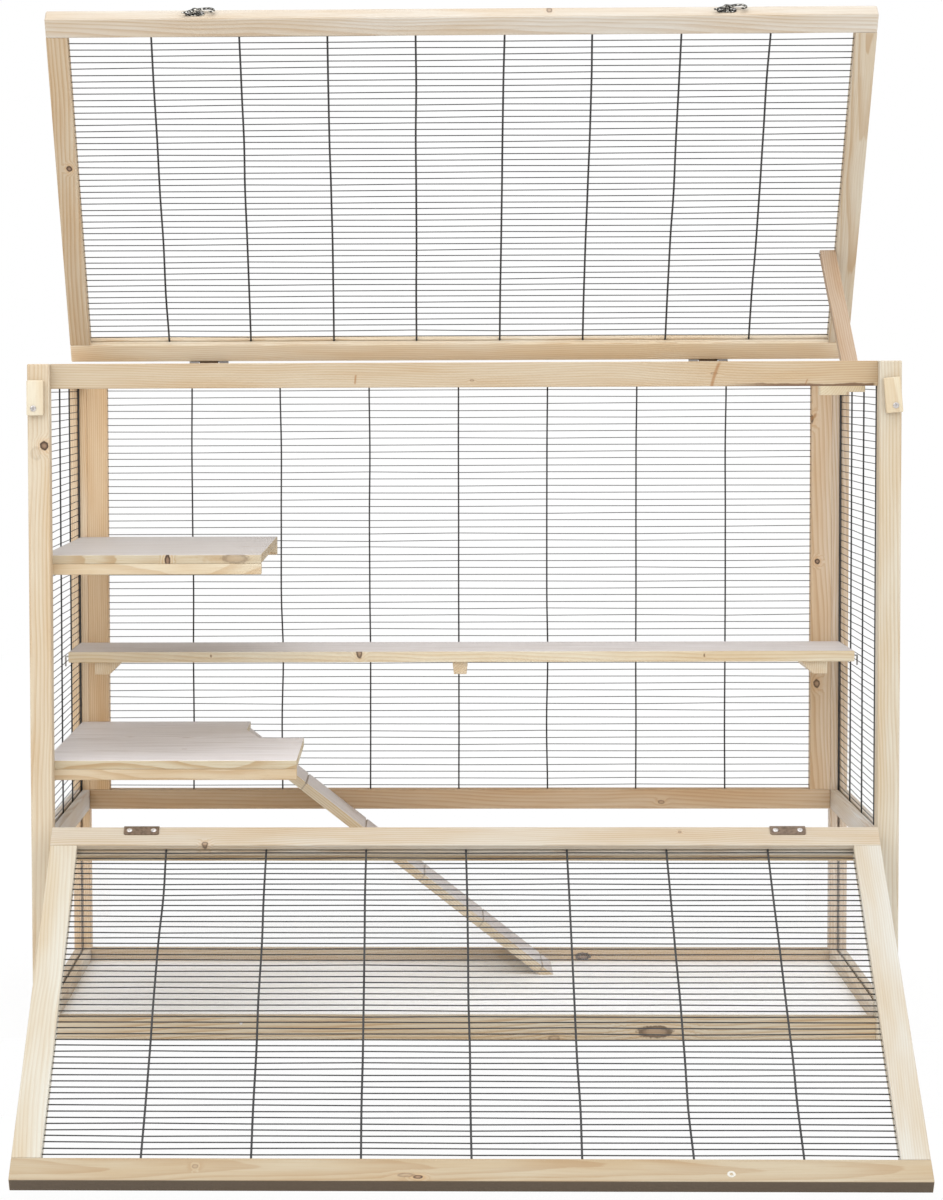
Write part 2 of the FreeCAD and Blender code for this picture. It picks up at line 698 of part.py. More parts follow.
platform_left = -groove_place + cross_wire / 2 + platform_mesh_gap
waist = platform_left + lower_waist
ramp_side = rear_post_front - ramp_width - running_gap


def platform_battens():
    """A batten under the front and the rear edge of each platform, screwed to the left posts."""
    for label, level, length, rear_length in (("upper_platform", upper_level, upper_length, upper_length),
                                              ("lower_platform", lower_level, lower_length, lower_waist)):
        z = (level - board_thick - batten_height, level - board_thick)
        front_batten = box((platform_left, platform_left + length), (front_post_back, front_post_back + batten_width), z)
        rear_y = (rear_post_front - batten_width, rear_post_front)
        rear_batten = box((platform_left, platform_left + rear_length), rear_y, z)
        named(grouped([front_batten, rear_batten]), label + "_battens")


def long_shelf():
    """The long shelf, its three tapered cross battens and the wire hooks that hang it on the side meshes."""
    half = groove_place - cross_wire / 2 - shelf_mesh_gap
    y = (rear_post_front - shelf_back_gap - shelf_depth, rear_post_front - shelf_back_gap)
    bottom = shelf_level - shelf_thick
    named(box((-half, half), y, (bottom, shelf_level)), "long_shelf")
    battens = []
    outer = end_batten_outer
    for foot, top in (((-outer, -outer + end_batten_foot), (-outer, -outer + end_batten_top)),
                      (centred(0, middle_batten_foot), centred(0, middle_batten_top)),
                      ((outer - end_batten_foot, outer), (outer - end_batten_top, outer))):
        batten = document.addObject("Part::Wedge", "batten")
        length = shelf_depth - shelf_batten_inset * 2
        for name, value in (("Xmin", foot[0]), ("Xmax", foot[1]), ("X2min", top[0]), ("X2max", top[1]),
                            ("Ymin", 0), ("Ymax", shelf_batten_height), ("Zmin", 0), ("Zmax", length),
                            ("Z2min", 0), ("Z2max", length)):
            batten.setExpression(name, as_term(value).text)
        battens.append(place(batten, y[1] - shelf_batten_inset, bottom - shelf_batten_height, Term("90", 90)))
    named(grouped(battens), "shelf_battens")
    hooks = []
    level = bottom + shelf_hook_level
    outside = groove_place + cross_wire / 2 + seat_gap + shelf_hook_wire / 2
    for name, side in SIDES:
        for hook_y in (y[0] + shelf_hook_inset, y[1] - shelf_hook_inset):
            start, end = mirrored(half - shelf_hook_root, outside, side)
            arm = rod(shelf_hook_wire / 2, end - start, start, hook_y, level, "X")
            drop = rod(shelf_hook_wire / 2, shelf_hook_drop, outside * side, hook_y, level - shelf_hook_drop, "Z")
            elbow = document.addObject("Part::Sphere", "elbow")
            elbow.setExpression("Radius", (shelf_hook_wire / 2).text)
            elbow.setExpression("Placement.Base.x", (outside * side).text)
            place(elbow, hook_y, level)
            hooks.append(joined([arm, drop, elbow]))
    named(grouped(hooks), "shelf_hooks")


def ramp():
    """The ramp from the lower platform to the floor, with five grooves across it."""
    top = lower_level - ramp_drop
    rise = top - floor_thick
    angle = math.degrees(math.atan2(rise.number, ramp_run.number))
    length = math.hypot(rise.number, ramp_run.number)
    slope = Term(str(round(angle, 4)), angle)
    run_length = Term(f"(sqrt({rise.text}^2 + {ramp_run.text}^2))", length)
    y = (ramp_side + running_gap / 2, rear_post_front)
    board = box((-ramp_thick, run_length + ramp_thick), y, (-ramp_thick, 0))
    tools = []
    for index in range(RAMP_GROOVES):
        start = ramp_groove_start + ramp_groove_pitch * index - ramp_groove_width / 2
        across = (y[0] - cut_overrun, y[1] + cut_overrun)
        tools.append(box((start, start + ramp_groove_width), across, (-ramp_groove_depth, cut_overrun)))
    board = cut(board, tools)
    board.setExpression("Placement.Base.x", waist.text)
    board.setExpression("Placement.Base.z", top.text)
    board.setExpression("Placement.Rotation.Axis.y", "1")
    board.setExpression("Placement.Rotation.Axis.z", "0")
    board.setExpression("Placement.Rotation.Angle", slope.text)
    reach = (y[0] - cut_overrun, y[1] + cut_overrun)
    past = (waist - ramp_thick * 3, waist + ramp_run + ramp_thick * 3)
    below = box(past, reach, (-ramp_thick * 3, floor_thick))
    behind = box((waist - ramp_thick * 3, waist), reach, (0, lower_level + ramp_thick * 3))
    named(cut(board, [below, behind]), "ramp")


def lid_local(item):
    """Set a piece of the lid's frame where the open lid hangs."""
    return place(item, *lid_axis, -lid_open_angle)


def prop_and_ledge():
    """The prop that pivots on the lid's right stile, and the ledge that its foot stands on."""
    pivot_y = lid_edge - prop_place
    pivot_z = lid_under + prop_lift
    radius = prop_thick / 2
    half = prop_width / 2
    bar = box((-half, half), (-prop_length, 0), (-radius, radius))
    head = rod(radius, prop_width, -half, 0, 0, "X")
    foot = rod(radius, prop_width, -half, -prop_length, 0, "X")
    bore = rod(screw_shank_radius + seat_gap, prop_width + cut_overrun * 2, -half - cut_overrun, 0, 0, "X")
    item = cut(joined([bar, head, foot]), [bore])
    lean = FreeCAD.Rotation(FreeCAD.Vector(0, 1, 0), -prop_lean.number)
    swing = FreeCAD.Rotation(FreeCAD.Vector(1, 0, 0), prop_turn.number)
    pivot = FreeCAD.Vector((width / 2 - prop_side_inset).number, pivot_y.number, pivot_z.number)
    lid_place = turned(lid_axis, -lid_open_angle.number)
    item.Placement = lid_place * FreeCAD.Placement(pivot, lean.multiply(swing))
    named(item, "prop")
    reach = prop_side_inset - lid_member + screw_length
    head = rod(screw_head_radius, screw_head_thick, -half - seat_gap - screw_head_thick, 0, 0, "X")
    shank = rod(screw_shank_radius, half + seat_gap + reach, -half - seat_gap, 0, 0, "X")
    screw = joined([head, shank])
    screw.Placement = FreeCAD.Placement(pivot, lean)
    y_front = back - ledge_back - ledge_length
    run = (y_front, y_front + ledge_length)
    step = width / 2 - ledge_step
    block = box((width / 2 - ledge_reach, step), run, (top_rail_bottom - ledge_height, top_rail_bottom))
    arm = box((step, side_inner + ledge_bearing), run, (top_rail_bottom - ledge_thin, top_rail_bottom))
    named(joined([block, arm]), "prop_ledge")
    return screw


def latches():
    """Swing hooks on the lid's front edge: a plate with a boss and rivet, and the hook that turns on it."""
    plates = []
    middle_z = lid_groove_z
    plate_y = (lid_free - latch_plate_thick, lid_free)
    boss_y = plate_y[0] - latch_boss_reach
    hook_y = (boss_y - seat_gap - hook_arm_thick, boss_y - seat_gap)
    rivet_y = hook_y[0] - seat_gap - latch_plate_thick
    for name, side in SIDES:
        middle = latch_place * side
        plate = box(centred(middle, latch_plate_width), plate_y, centred(middle_z, latch_plate_height))
        boss = rod(latch_boss_radius, latch_boss_reach, middle, boss_y, middle_z, "Y")
        rivet = rod(latch_rivet_radius, plate_y[0] - rivet_y, middle, rivet_y, middle_z, "Y")
        head = rod(latch_rivet_head, latch_plate_thick, middle, rivet_y, middle_z, "Y")
        plates.append(joined([plate, boss, rivet, head]))
        arm = box((middle - hook_tail_length, middle + hook_arm_length), hook_y, centred(middle_z, hook_arm_width))
        eye = rod(hook_eye_radius, hook_arm_thick, middle, hook_y[0], middle_z, "Y")
        end = rod(hook_end_radius, hook_arm_thick, middle + hook_arm_length, hook_y[0], middle_z, "Y")
        tail = rod(hook_eye_radius, hook_arm_thick, middle - hook_tail_length, hook_y[0], middle_z, "Y")
        past = (hook_y[0] - cut_overrun, hook_y[1] + cut_overrun)
        bore = rod(latch_rivet_radius + seat_gap, past[1] - past[0], middle, past[0], middle_z, "Y")
        tip = middle + hook_arm_length
        slot = box(centred(tip, hook_slot_width), past, (middle_z - hook_end_radius * 2, middle_z))
        crown = rod(hook_slot_width / 2, past[1] - past[0], tip, past[0], middle_z, "Y")
        named(lid_local(cut(joined([arm, eye, end, tail]), [bore, slot, crown])), "latch_hook_" + name)
    named(lid_local(grouped(plates)), "latch_plates")


def leaf_screws(middle, y, z, along):
    """The two countersunk screws of one hinge leaf, heads flush in the leaf, from its outer face inwards."""
    pieces = []
    for share in (-1, 1):
        x = middle + leaf_screw_spacing * share / 2
        if along == "Z":
            head = rod(screw_head_radius, leaf_thick, x, y, z - leaf_thick, "Z")
            shank = rod(screw_shank_radius, screw_length, x, y, z - leaf_thick - screw_length, "Z")
        else:
            head = rod(screw_head_radius, leaf_thick, x, y - leaf_thick, z, "Y")
            shank = rod(screw_shank_radius, screw_length, x, y - leaf_thick - screw_length, z, "Y")
        pieces.append(joined([head, shank]))
    return pieces


def lid_and_leaf_screws(prop_screw):
    """Screws of the lid's fittings, and the frame leaves' screws together with the front screw of the floor."""
    lid_pieces = [prop_screw]
    frame_pieces = []
    away = barrel_radius + seat_gap
    for name, side in SIDES:
        middle = lid_hinge_place * side
        level = away + lid_hinge_leaf * LEAF_SCREW_SHARE
        lid_pieces += leaf_screws(middle, leaf_thick - away, level, "Y")
        for screw in leaf_screws(middle, leaf_thick - away, -level, "Y"):
            frame_pieces.append(place(screw, *lid_axis))
        middle = door_hinge_place * side
        y = away + door_hinge_leaf * LEAF_SCREW_SHARE
        for screw in leaf_screws(middle, y, leaf_thick - hinge_gap / 2, "Z"):
            frame_pieces.append(place(screw, *door_axis))
        for share in (-1, 1):
            x = latch_place * side + latch_plate_width * share * KEEPER_SCREW_SHARE
            seat = lid_free - latch_plate_thick
            head = rod(screw_head_radius / 2, screw_head_thick / 2, x, seat - screw_head_thick / 2, lid_groove_z, "Y")
            shank = rod(screw_shank_radius / 2, screw_length, x, seat, lid_groove_z, "Y")
            lid_pieces.append(joined([head, shank]))
    named(lid_local(grouped(lid_pieces)), "lid_screws")
    x = -base_screw_place
    head = rod(screw_head_radius / 2, screw_head_thick / 2, x, front - screw_head_thick / 2, base_screw_level, "Y")
    shank = rod(screw_shank_radius / 2, pane_screw_length, x, front, base_screw_level, "Y")
    frame_pieces.append(joined([head, shank]))
    return frame_pieces


carcass_posts()
front_rails()
side_and_back_walls()
panes_and_floor()
wall_meshes()
turn_buttons()
hinge_hardware()
lid_frame()
lid_mesh()
door_frame()
door_mesh()
door_fittings()
platform_boards()
platform_battens()
long_shelf()
ramp()
latches()
frame_screws(lid_and_leaf_screws(prop_and_ledge()))
document.recompute()

faults = [item.Label for item in document.Objects if "Invalid" in item.State or "Error" in item.State]
assert not faults, faults
for label, item in nodes.items():
    shape = item.Shape
    assert not shape.isNull() and shape.isValid() and shape.Volume > 0, label
    shape.exportStep("parts/" + label + ".step")
prop_box = nodes["prop"].Shape.BoundBox
print("nodes", len(nodes), "gap under the prop's foot", round(prop_box.ZMin - top_rail_bottom.number, 2))
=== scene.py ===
"""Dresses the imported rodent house: pine frames and boards, dark welded mesh, zinc hinges and swing hooks.

Everything is in metres and in the CAD's frame: +Z up, -Y the front, +X to the right seen from the front.
"""

import json
import math

import bpy
import numpy as np
from mathutils import Matrix, Vector


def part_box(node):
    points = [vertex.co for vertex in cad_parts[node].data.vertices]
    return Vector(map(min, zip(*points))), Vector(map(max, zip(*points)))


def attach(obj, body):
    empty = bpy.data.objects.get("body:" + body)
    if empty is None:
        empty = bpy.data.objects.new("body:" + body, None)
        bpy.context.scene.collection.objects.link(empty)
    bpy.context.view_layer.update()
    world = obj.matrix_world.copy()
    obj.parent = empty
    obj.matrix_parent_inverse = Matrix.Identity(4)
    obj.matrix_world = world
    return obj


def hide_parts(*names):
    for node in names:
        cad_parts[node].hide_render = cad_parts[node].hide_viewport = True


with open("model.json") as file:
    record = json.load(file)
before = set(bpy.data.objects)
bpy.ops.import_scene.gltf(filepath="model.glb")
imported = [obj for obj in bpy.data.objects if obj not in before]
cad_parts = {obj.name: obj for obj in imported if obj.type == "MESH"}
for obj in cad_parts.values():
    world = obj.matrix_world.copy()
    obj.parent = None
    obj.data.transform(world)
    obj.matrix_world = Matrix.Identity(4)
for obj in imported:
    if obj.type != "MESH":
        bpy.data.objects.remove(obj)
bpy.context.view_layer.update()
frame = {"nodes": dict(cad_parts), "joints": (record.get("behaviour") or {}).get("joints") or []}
MM = 0.001
joints = {joint["name"]: joint for joint in frame["joints"]}


# Frames of reference


def hung(joint, degrees):
    """4x4 placement of a piece that is drawn closed, with its hinge axis along X through the origin."""
    turn = math.radians(degrees)
    placement = np.eye(4)
    placement[1:3, 1:3] = [[math.cos(turn), -math.sin(turn)], [math.sin(turn), math.cos(turn)]]
    placement[:3, 3] = [0, *joints[joint]["pos_m"][1:]]
    return placement


STANDING = np.eye(4)
LID = hung("lid_hinge", -joints["lid_hinge"]["range_deg"][1])
DOOR = hung("door_hinge", -joints["door_hinge"]["range_deg"][0])


def moved(points, placement):
    """Points of shape (..., 3) carried by a 4x4 placement: p becomes R p + t."""
    return np.asarray(points) @ placement[:3, :3].T + placement[:3, 3]


def node_box(name, placement=STANDING):
    """Lowest and highest corner of a CAD node in its own upright frame."""
    mesh = frame["nodes"][name].data
    points = np.empty(len(mesh.vertices) * 3)
    mesh.vertices.foreach_get("co", points)
    points = moved(points.reshape(-1, 3), np.linalg.inv(placement))
    return points.min(0), points.max(0)


def mm(*place):
    """A place given in millimetres, in metres."""
    return np.array(place, float) * MM


X, Y, Z = (1, 0, 0), (0, 1, 0), (0, 0, 1)
FORWARD = (0, -1, 0)
DOWN = (0, 0, -1)


# Shader expressions


class Socket:
    """A shader value. Its operators add Math nodes, so masks and bands read as plain expressions."""

    def __init__(self, graph, link):
        self.graph = graph
        self.link = link

    def maths(self, operation, *values):
        return self.graph.add("Math", {"operation": operation}, dict(enumerate(values)))

    def __add__(self, other):
        return self.maths("ADD", self, other)

    def __sub__(self, other):
        return self.maths("SUBTRACT", self, other)

    def __rsub__(self, other):
        return self.maths("SUBTRACT", other, self)

    def __mul__(self, other):
        return self.maths("MULTIPLY", self, other)

    def __truediv__(self, other):
        return self.maths("DIVIDE", self, other)

    __radd__ = __add__
    __rmul__ = __mul__

    def fraction(self):
        return self.maths("FRACT", self)

    def root(self):
        return self.maths("SQRT", self)

    def step(self, low, high):
        """0 below low and 1 above high, with a smooth rise between them."""
        settings = {"interpolation_type": "SMOOTHSTEP"}
        return self.graph.add("MapRange", settings, {"Value": self, "From Min": low, "From Max": high})


class Graph:
    """One material's node tree."""

    def __init__(self, name):
        self.material = bpy.data.materials.new(name)
        self.material.use_nodes = True
        self.tree = self.material.node_tree
        self.tree.nodes.clear()
        self.output = self.tree.nodes.new("ShaderNodeOutputMaterial")

    def add(self, kind, settings=None, values=None, output=0):
        """Add a node: its settings first, then the values or links of its sockets."""
        node = self.tree.nodes.new("ShaderNode" + kind)
        for key, value in (settings or {}).items():
            setattr(node, key, value)
        for key, value in (values or {}).items():
            if isinstance(value, Socket):
                self.tree.links.new(value.link, node.inputs[key])
            else:
                node.inputs[key].default_value = value
        return Socket(self, node.outputs[output])

    def place(self):
        """Object coordinates, which are the frame's own metres."""
        return self.add("TexCoord", output="Object")

    def along(self, point, direction, start=0.0):
        """Distance of a point along a direction, from a start."""
        value = self.add("VectorMath", {"operation": "DOT_PRODUCT"}, {0: point, 1: direction}, "Value")
        return value - start

    def offset(self, point, start):
        """The vector from a start to a point."""
        return self.add("VectorMath", {"operation": "SUBTRACT"}, {0: point, 1: start})

    def vector(self, x, y, z):
        return self.add("CombineXYZ", None, {0: x, 1: y, 2: z})

    def noise(self, vector, scale, detail=2.0, roughness=0.5):
        """Smooth noise about 0.5."""
        values = {"Vector": vector, "Scale": scale, "Detail": detail, "Roughness": roughness}
        return self.add("TexNoise", None, values)

    def mix(self, factor, first, second, blend="MIX"):
        """Colour mixed from first at 0 to second at 1."""
        settings = {"data_type": "RGBA", "blend_type": blend}
        values = {0: factor}
        for index, colour in ((6, first), (7, second)):
            values[index] = colour if isinstance(colour, Socket) else (*colour, 1)
        return self.add("Mix", settings, values, 2)

    def bump(self, height, distance, strength=1.0):
        return self.add("Bump", None, {"Height": height, "Distance": distance, "Strength": strength})

    def finish(self, **sockets):
        """End in a Principled shader whose sockets are named in words."""
        values = {key.replace("_", " "): value for key, value in sockets.items()}
        if not isinstance(values["Base Color"], Socket):
            values["Base Color"] = (*values["Base Color"], 1)
        shader = self.add("BsdfPrincipled", None, values)
        self.tree.links.new(shader.link, self.output.inputs["Surface"])
        return self.material


# Pine. Colours are linear.
PINE_PALE = (0.640, 0.565, 0.430)
PINE_WARM = (0.585, 0.455, 0.290)
PINE_LATE = (0.440, 0.275, 0.130)
KNOT_RIM = (0.055, 0.032, 0.020)
KNOT_DARK = (0.130, 0.072, 0.042)
KNOT_HEART = (0.280, 0.180, 0.115)
RESIN = (0.560, 0.300, 0.110)
STREAK = (0.330, 0.165, 0.065)
BARK = (0.130, 0.065, 0.032)
# The next two colours are painted shade, for the end face of the door's free rail, which faces down.
END_SHADE = (0.055, 0.039, 0.025)
END_SHADE_MOTTLE = (0.090, 0.062, 0.040)
DARK_MARK = (0.300, 0.240, 0.195)
RING_PITCH = 3.1 * MM
RING_WANDER = 1.2
PITH_AWAY = 60 * MM
PITH_WANDER = 30 * MM
CONE_SLOPE = 0.016
KNOT_SWELL = 2.0
ORDINARY = {
    "tone": (1, 1, 1),
    "contrast": 1.0,
    "greyed": None,
    "painted_end_shade": None,
    "bark_edge": None,
    "streaks": (),
    "streak": STREAK,
}


def seeded(name):
    """Numbers that differ from board to board and are the same on every run."""
    return np.random.default_rng([ord(letter) for letter in name])


def pine(name, length, breadth, placement=STANDING, knots=(), **look):
    """Planed pine: growth rings cut from a long cone about the pith, pale to orange, with fibres and knots.

    Ring number = distance from the pith over the ring pitch, bent by slow noise along the board and pushed
    out round each knot, so that flat faces show long tongues and end faces show arcs. length and breadth are
    the board's directions, and look changes what ORDINARY names.
    """
    look = {**ORDINARY, **look}
    graph = Graph("pine_" + name)
    rng = seeded(name)
    point = graph.place()
    turn = placement[:3, :3]
    length_way, breadth_way = turn @ length, turn @ breadth
    depth_way = np.cross(length_way, breadth_way)
    low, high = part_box(name)
    middle = (np.array(low) + np.array(high)) / 2
    run = graph.along(point, length_way, float(middle @ length_way) + rng.uniform(-0.4, 0.4))
    slow = graph.noise(graph.vector(run, 0, rng.uniform(0, 9)), 2.6, 2.0)
    angle = rng.uniform(0, 2 * math.pi)
    side = graph.along(point, breadth_way, float(middle @ breadth_way) + PITH_AWAY * math.cos(angle))
    side = side + (slow - 0.5) * PITH_WANDER
    deep = graph.along(point, depth_way, float(middle @ depth_way) + PITH_AWAY * math.sin(angle))
    rings = (side * side + deep * deep).root() / RING_PITCH
    rings = rings + run * (rng.choice([-1, 1]) * CONE_SLOPE / RING_PITCH)
    rings = rings + (graph.noise(graph.vector(run * 5, side * 40, deep * 40), 1.0, 3.0) - 0.5) * RING_WANDER
    gaps = []
    for place, size, depth, stretch in knots:
        centre = moved(np.array(place) * MM, placement)
        gap = distance_to_knot(graph, point, centre, (length_way, depth_way), size * MM, stretch)
        rings = rings + (1 - gap.step(0.7, 3.4)) * (KNOT_SWELL * depth)
        gaps.append((gap, depth))
    late = rings.fraction()
    late = late.step(0.30, 0.93) * (1 - late.step(0.94, 1.0))
    patch = graph.noise(graph.vector(run * 1.2, side * 9, deep * 9), 3.0, 3.0)
    fibre = graph.noise(graph.vector(run * 9, side * 620, deep * 620), 1.0, 4.0, 0.7)
    pores = graph.noise(graph.vector(run * 60, side * 1500, deep * 1500), 1.0, 2.0, 0.7)
    strength = look["contrast"]
    colour = graph.mix(patch.step(0.30, 0.72), PINE_PALE, PINE_WARM)
    colour = graph.mix(late * (patch * 0.70 + 0.10) * strength, colour, PINE_LATE)
    colour = graph.mix(fibre.step(0.40, 0.85) * (0.42 * strength), colour, PINE_LATE)
    colour = graph.mix(pores.step(0.62, 0.80) * 0.12, colour, KNOT_HEART)
    # The board's colour factor multiplies in here: partly the wood's own colour, partly painted light and
    # shade set board by board to how lit each board looks.
    colour = graph.mix(1.0, colour, look["tone"], "MULTIPLY")
    # Painted sheen: faces that look up turn grey, for the bright surroundings reflected at a grazing view.
    if look["greyed"]:
        dirt = graph.noise(graph.vector(run * 5, side * 60, deep * 60), 1.0, 4.0, 0.65)
        marks = dirt.step(0.48, 0.80) * 0.35 + fibre.step(0.42, 0.75) * 0.42 + late * 0.22
        colour = greyed_top(graph, colour, look["greyed"], marks, patch)
    for gap, depth in gaps:
        colour = knot_colours(graph, point, gap, depth, colour)
    for place, lean, half_length, half_width in look["streaks"]:
        offset = graph.offset(point, moved(mm(*place), placement))
        halves = (half_length * MM, half_width * MM)
        line = streak_mask(graph, offset, (length_way, breadth_way), lean, halves)
        colour = graph.mix(line * (fibre * 0.8 + 0.35), colour, look["streak"])
    if look["bark_edge"]:
        colour = bark_edge(graph, point, colour, *look["bark_edge"])
    # Painted shade on the end face, where the look asks for it.
    if look["painted_end_shade"]:
        colour = painted_end_shade(graph, point, colour, *look["painted_end_shade"])
    height = late * -0.35 + fibre * 0.5 + pores * 0.25
    return graph.finish(
        Base_Color=colour,
        Roughness=0.52 + late * -0.08 + fibre * 0.10,
        Specular_IOR_Level=0.3,
        Normal=graph.bump(height, 0.00025, 0.5),
    )


def greyed_top(graph, colour, grey, marks, patch):
    """Painted sheen: the faces that look up turn grey, standing in for the bright surroundings reflected at a
    grazing view, with dark marks of dirt and grain in the grey.
    """
    up = graph.along(graph.add("NewGeometry", output="Normal"), Z)
    marks_and_reflection = graph.mix(marks, grey, DARK_MARK)
    return graph.mix(up.step(0.55, 0.75) * (0.98 - patch * 0.16), colour, marks_and_reflection)


def streak_mask(graph, offset, ways, lean, halves):
    """1 on a line across the grain that leans and bends along it, 0 away from it, with soft edges and ends.

    halves are half its length and half its width.
    """
    half_length, half_width = halves
    run, rise = (graph.along(offset, way) for way in ways)
    bend = run - rise * lean - rise * rise * (lean * 14)
    beside = (bend * bend).root().step(half_width * 0.2, half_width)
    beyond = (rise * rise).root().step(half_length * 0.7, half_length)
    return (1 - beside) * (1 - beyond)


def painted_end_shade(graph, point, colour, way, start):
    """Painted shade: the end face from start on along a way turned near black, with a rough mottle."""
    end_shade = graph.mix(graph.noise(point, 500.0, 3.0), END_SHADE, END_SHADE_MOTTLE)
    return graph.mix(graph.along(point, way, start).step(-0.0009, 0.0001) * 0.97, colour, end_shade)


def distance_to_knot(graph, point, centre, ways, size, stretch):
    """Distance from a knot's axis over its size, drawn out along the grain and deep through the board."""
    offset = graph.offset(point, centre)
    run, deep = (graph.along(offset, way) for way in ways)
    square = graph.add("VectorMath", {"operation": "DOT_PRODUCT"}, {0: offset, 1: offset}, "Value")
    square = square - run * run * (1 - 1 / stretch**2) - deep * deep * 0.8
    wobble = graph.noise(offset, 210.0, 3.0) * 0.7 + 0.65
    return square.root() / size * wobble


def knot_colours(graph, point, gap, depth, colour):
    """A resin halo, a brown heart with faint rings and specks, and an uneven dark rim."""
    speck = graph.noise(point, 900.0, 3.0)
    colour = graph.mix((1 - gap.step(0.8, 2.6)) * (0.45 * depth) * speck.step(0.2, 0.7), colour, RESIN)
    heart = graph.mix(gap.step(0.25, 0.6) * 0.6 + speck.step(0.42, 0.7) * 0.4, KNOT_HEART, KNOT_DARK)
    colour = graph.mix((1 - gap.step(0.78, 1.12)) * min(1, depth), colour, heart)
    rim = (1 - gap.step(0.92, 1.20)) * gap.step(0.50, 0.85) * (speck * 0.9 + 0.5)
    return graph.mix(rim * min(1, depth), colour, KNOT_RIM)


def bark_edge(graph, point, colour, low, first, last):
    """An uneven strip of bark along a board's lower edge, at the level low and from first to last in X."""
    run = graph.along(point, X)
    rise = graph.along(point, Z, low)
    wave = graph.noise(graph.vector(run * 22, 0, 0), 1.0, 4.0, 0.6) * 0.0080 - 0.0006
    mask = (1 - (rise - wave).step(-0.0008, 0.0008)) * run.step(first, first + 0.10)
    return graph.mix(mask * (1 - run.step(last - 0.004, last)) * 0.85, colour, BARK)


def wire_paint():
    """Dark coated wire: near black with a dusty sheen that varies along the wires."""
    graph = Graph("wire_coating")
    point = graph.place()
    drift = graph.noise(point, 26.0, 3.0)
    fine = graph.noise(point, 900.0, 2.0)
    colour = graph.mix(drift.step(0.3, 0.75), (0.022, 0.022, 0.024), (0.050, 0.049, 0.049))
    return graph.finish(
        Base_Color=graph.mix(fine.step(0.66, 0.8) * 0.5, colour, (0.12, 0.115, 0.11)),
        Roughness=0.46 + drift * 0.2,
        Normal=graph.bump(fine, 0.00012, 0.4),
    )


def clear_pane():
    """Clear sheet: mostly see-through, with a faint haze and fine rub marks."""
    graph = Graph("clear_pane")
    point = graph.place()
    rub = graph.noise(graph.add("Mapping", None, {"Vector": point, "Scale": (1, 1, 6)}), 60.0, 4.0)
    return graph.finish(
        Base_Color=(0.93, 0.955, 0.96),
        Roughness=0.03 + rub.step(0.55, 0.8) * 0.05,
        Alpha=0.06 + rub.step(0.5, 0.85) * 0.03,
        IOR=1.49,
        Transmission_Weight=1.0,
    )


def white_coating():
    """White coated board: clean, with a faint orange-peel skin."""
    graph = Graph("white_coating")
    point = graph.place()
    broad = graph.noise(point, 7.0, 3.0)
    skin = graph.noise(point, 420.0, 2.0)
    return graph.finish(
        Base_Color=graph.mix(broad, (0.965, 0.97, 0.97), (0.98, 0.985, 0.985)),
        Roughness=0.38 + broad * 0.08,
        Normal=graph.bump(skin, 0.00012, 0.3),
    )


def stud_plastic():
    """Off-white moulded stud with faint scuffs."""
    graph = Graph("stud_plastic")
    scuff = graph.noise(graph.place(), 600.0, 3.0)
    return graph.finish(
        Base_Color=graph.mix(scuff.step(0.5, 0.8), (0.62, 0.60, 0.54), (0.48, 0.46, 0.41)),
        Roughness=0.45 + scuff * 0.2,
    )


# Camera, floor and light. The camera was fitted to the photograph: its place, turns and focal length.
CAMERA_PLACE = (-56.4 * MM, -4823.2 * MM, 880.1 * MM)
CAMERA_PITCH = 0.0632
CAMERA_YAW = 0.0273
CAMERA_ROLL = -0.0039
FOCAL_PIXELS = 3437.57
OPTICAL_CENTRE = (326.9, 595.5)
PHOTO_SIZE = (943, 1200)
SENSOR = 36.0


def photo_camera():
    """Camera at the photograph's place, with its lens and the shift that its framing needs."""
    data = bpy.data.cameras.new("photo_camera")
    data.sensor_fit = "VERTICAL"
    data.sensor_width = SENSOR
    data.sensor_height = SENSOR
    data.lens = FOCAL_PIXELS / PHOTO_SIZE[1] * SENSOR
    data.shift_x = (PHOTO_SIZE[0] / 2 - OPTICAL_CENTRE[0]) / PHOTO_SIZE[1]
    data.shift_y = (OPTICAL_CENTRE[1] - PHOTO_SIZE[1] / 2) / PHOTO_SIZE[1]
    data.clip_end = 50
    camera = bpy.data.objects.new("photo_camera", data)
    bpy.context.scene.collection.objects.link(camera)
    level = Matrix.Rotation(CAMERA_YAW, 4, "Z") @ Matrix.Rotation(math.pi / 2 - CAMERA_PITCH, 4, "X")
    camera.matrix_world = Matrix.Translation(CAMERA_PLACE) @ level @ Matrix.Rotation(CAMERA_ROLL, 4, "Z")
    bpy.context.scene.camera = camera


def sheet(name, corners, faces, material):
    """A flat piece of floor."""
    mesh = bpy.data.meshes.new(name)
    mesh.from_pydata(corners, [], faces)
    mesh.materials.append(material)
    piece = bpy.data.objects.new(name, mesh)
    bpy.context.scene.collection.objects.link(piece)


FLOOR_GLOW = 0.9
FLOOR_COLOUR = (0.82, 0.82, 0.82, 1)
WHITE = (1, 1, 1, 1)


def floor_paper():
    """White paper: to the camera and reflections white with a trace of the object's shadow, to light matt."""
    graph = Graph("floor_paper")
    seen = graph.add("LightPath", None, None, "Is Camera Ray")
    mirrored = graph.add("LightPath", None, None, "Is Glossy Ray")
    through = graph.add("LightPath", None, None, "Is Transmission Ray")
    shown = seen.maths("MAXIMUM", seen, seen.maths("MAXIMUM", mirrored, through))
    matt = graph.add("BsdfDiffuse", None, {"Color": FLOOR_COLOUR})
    glow = graph.add("Emission", None, {"Color": WHITE, "Strength": 1.0})
    lit = graph.add("MixShader", None, {0: FLOOR_GLOW, 1: matt, 2: glow})
    both = graph.add("MixShader", None, {0: shown, 1: matt, 2: lit})
    graph.tree.links.new(both.link, graph.output.inputs["Surface"])
    return graph.material


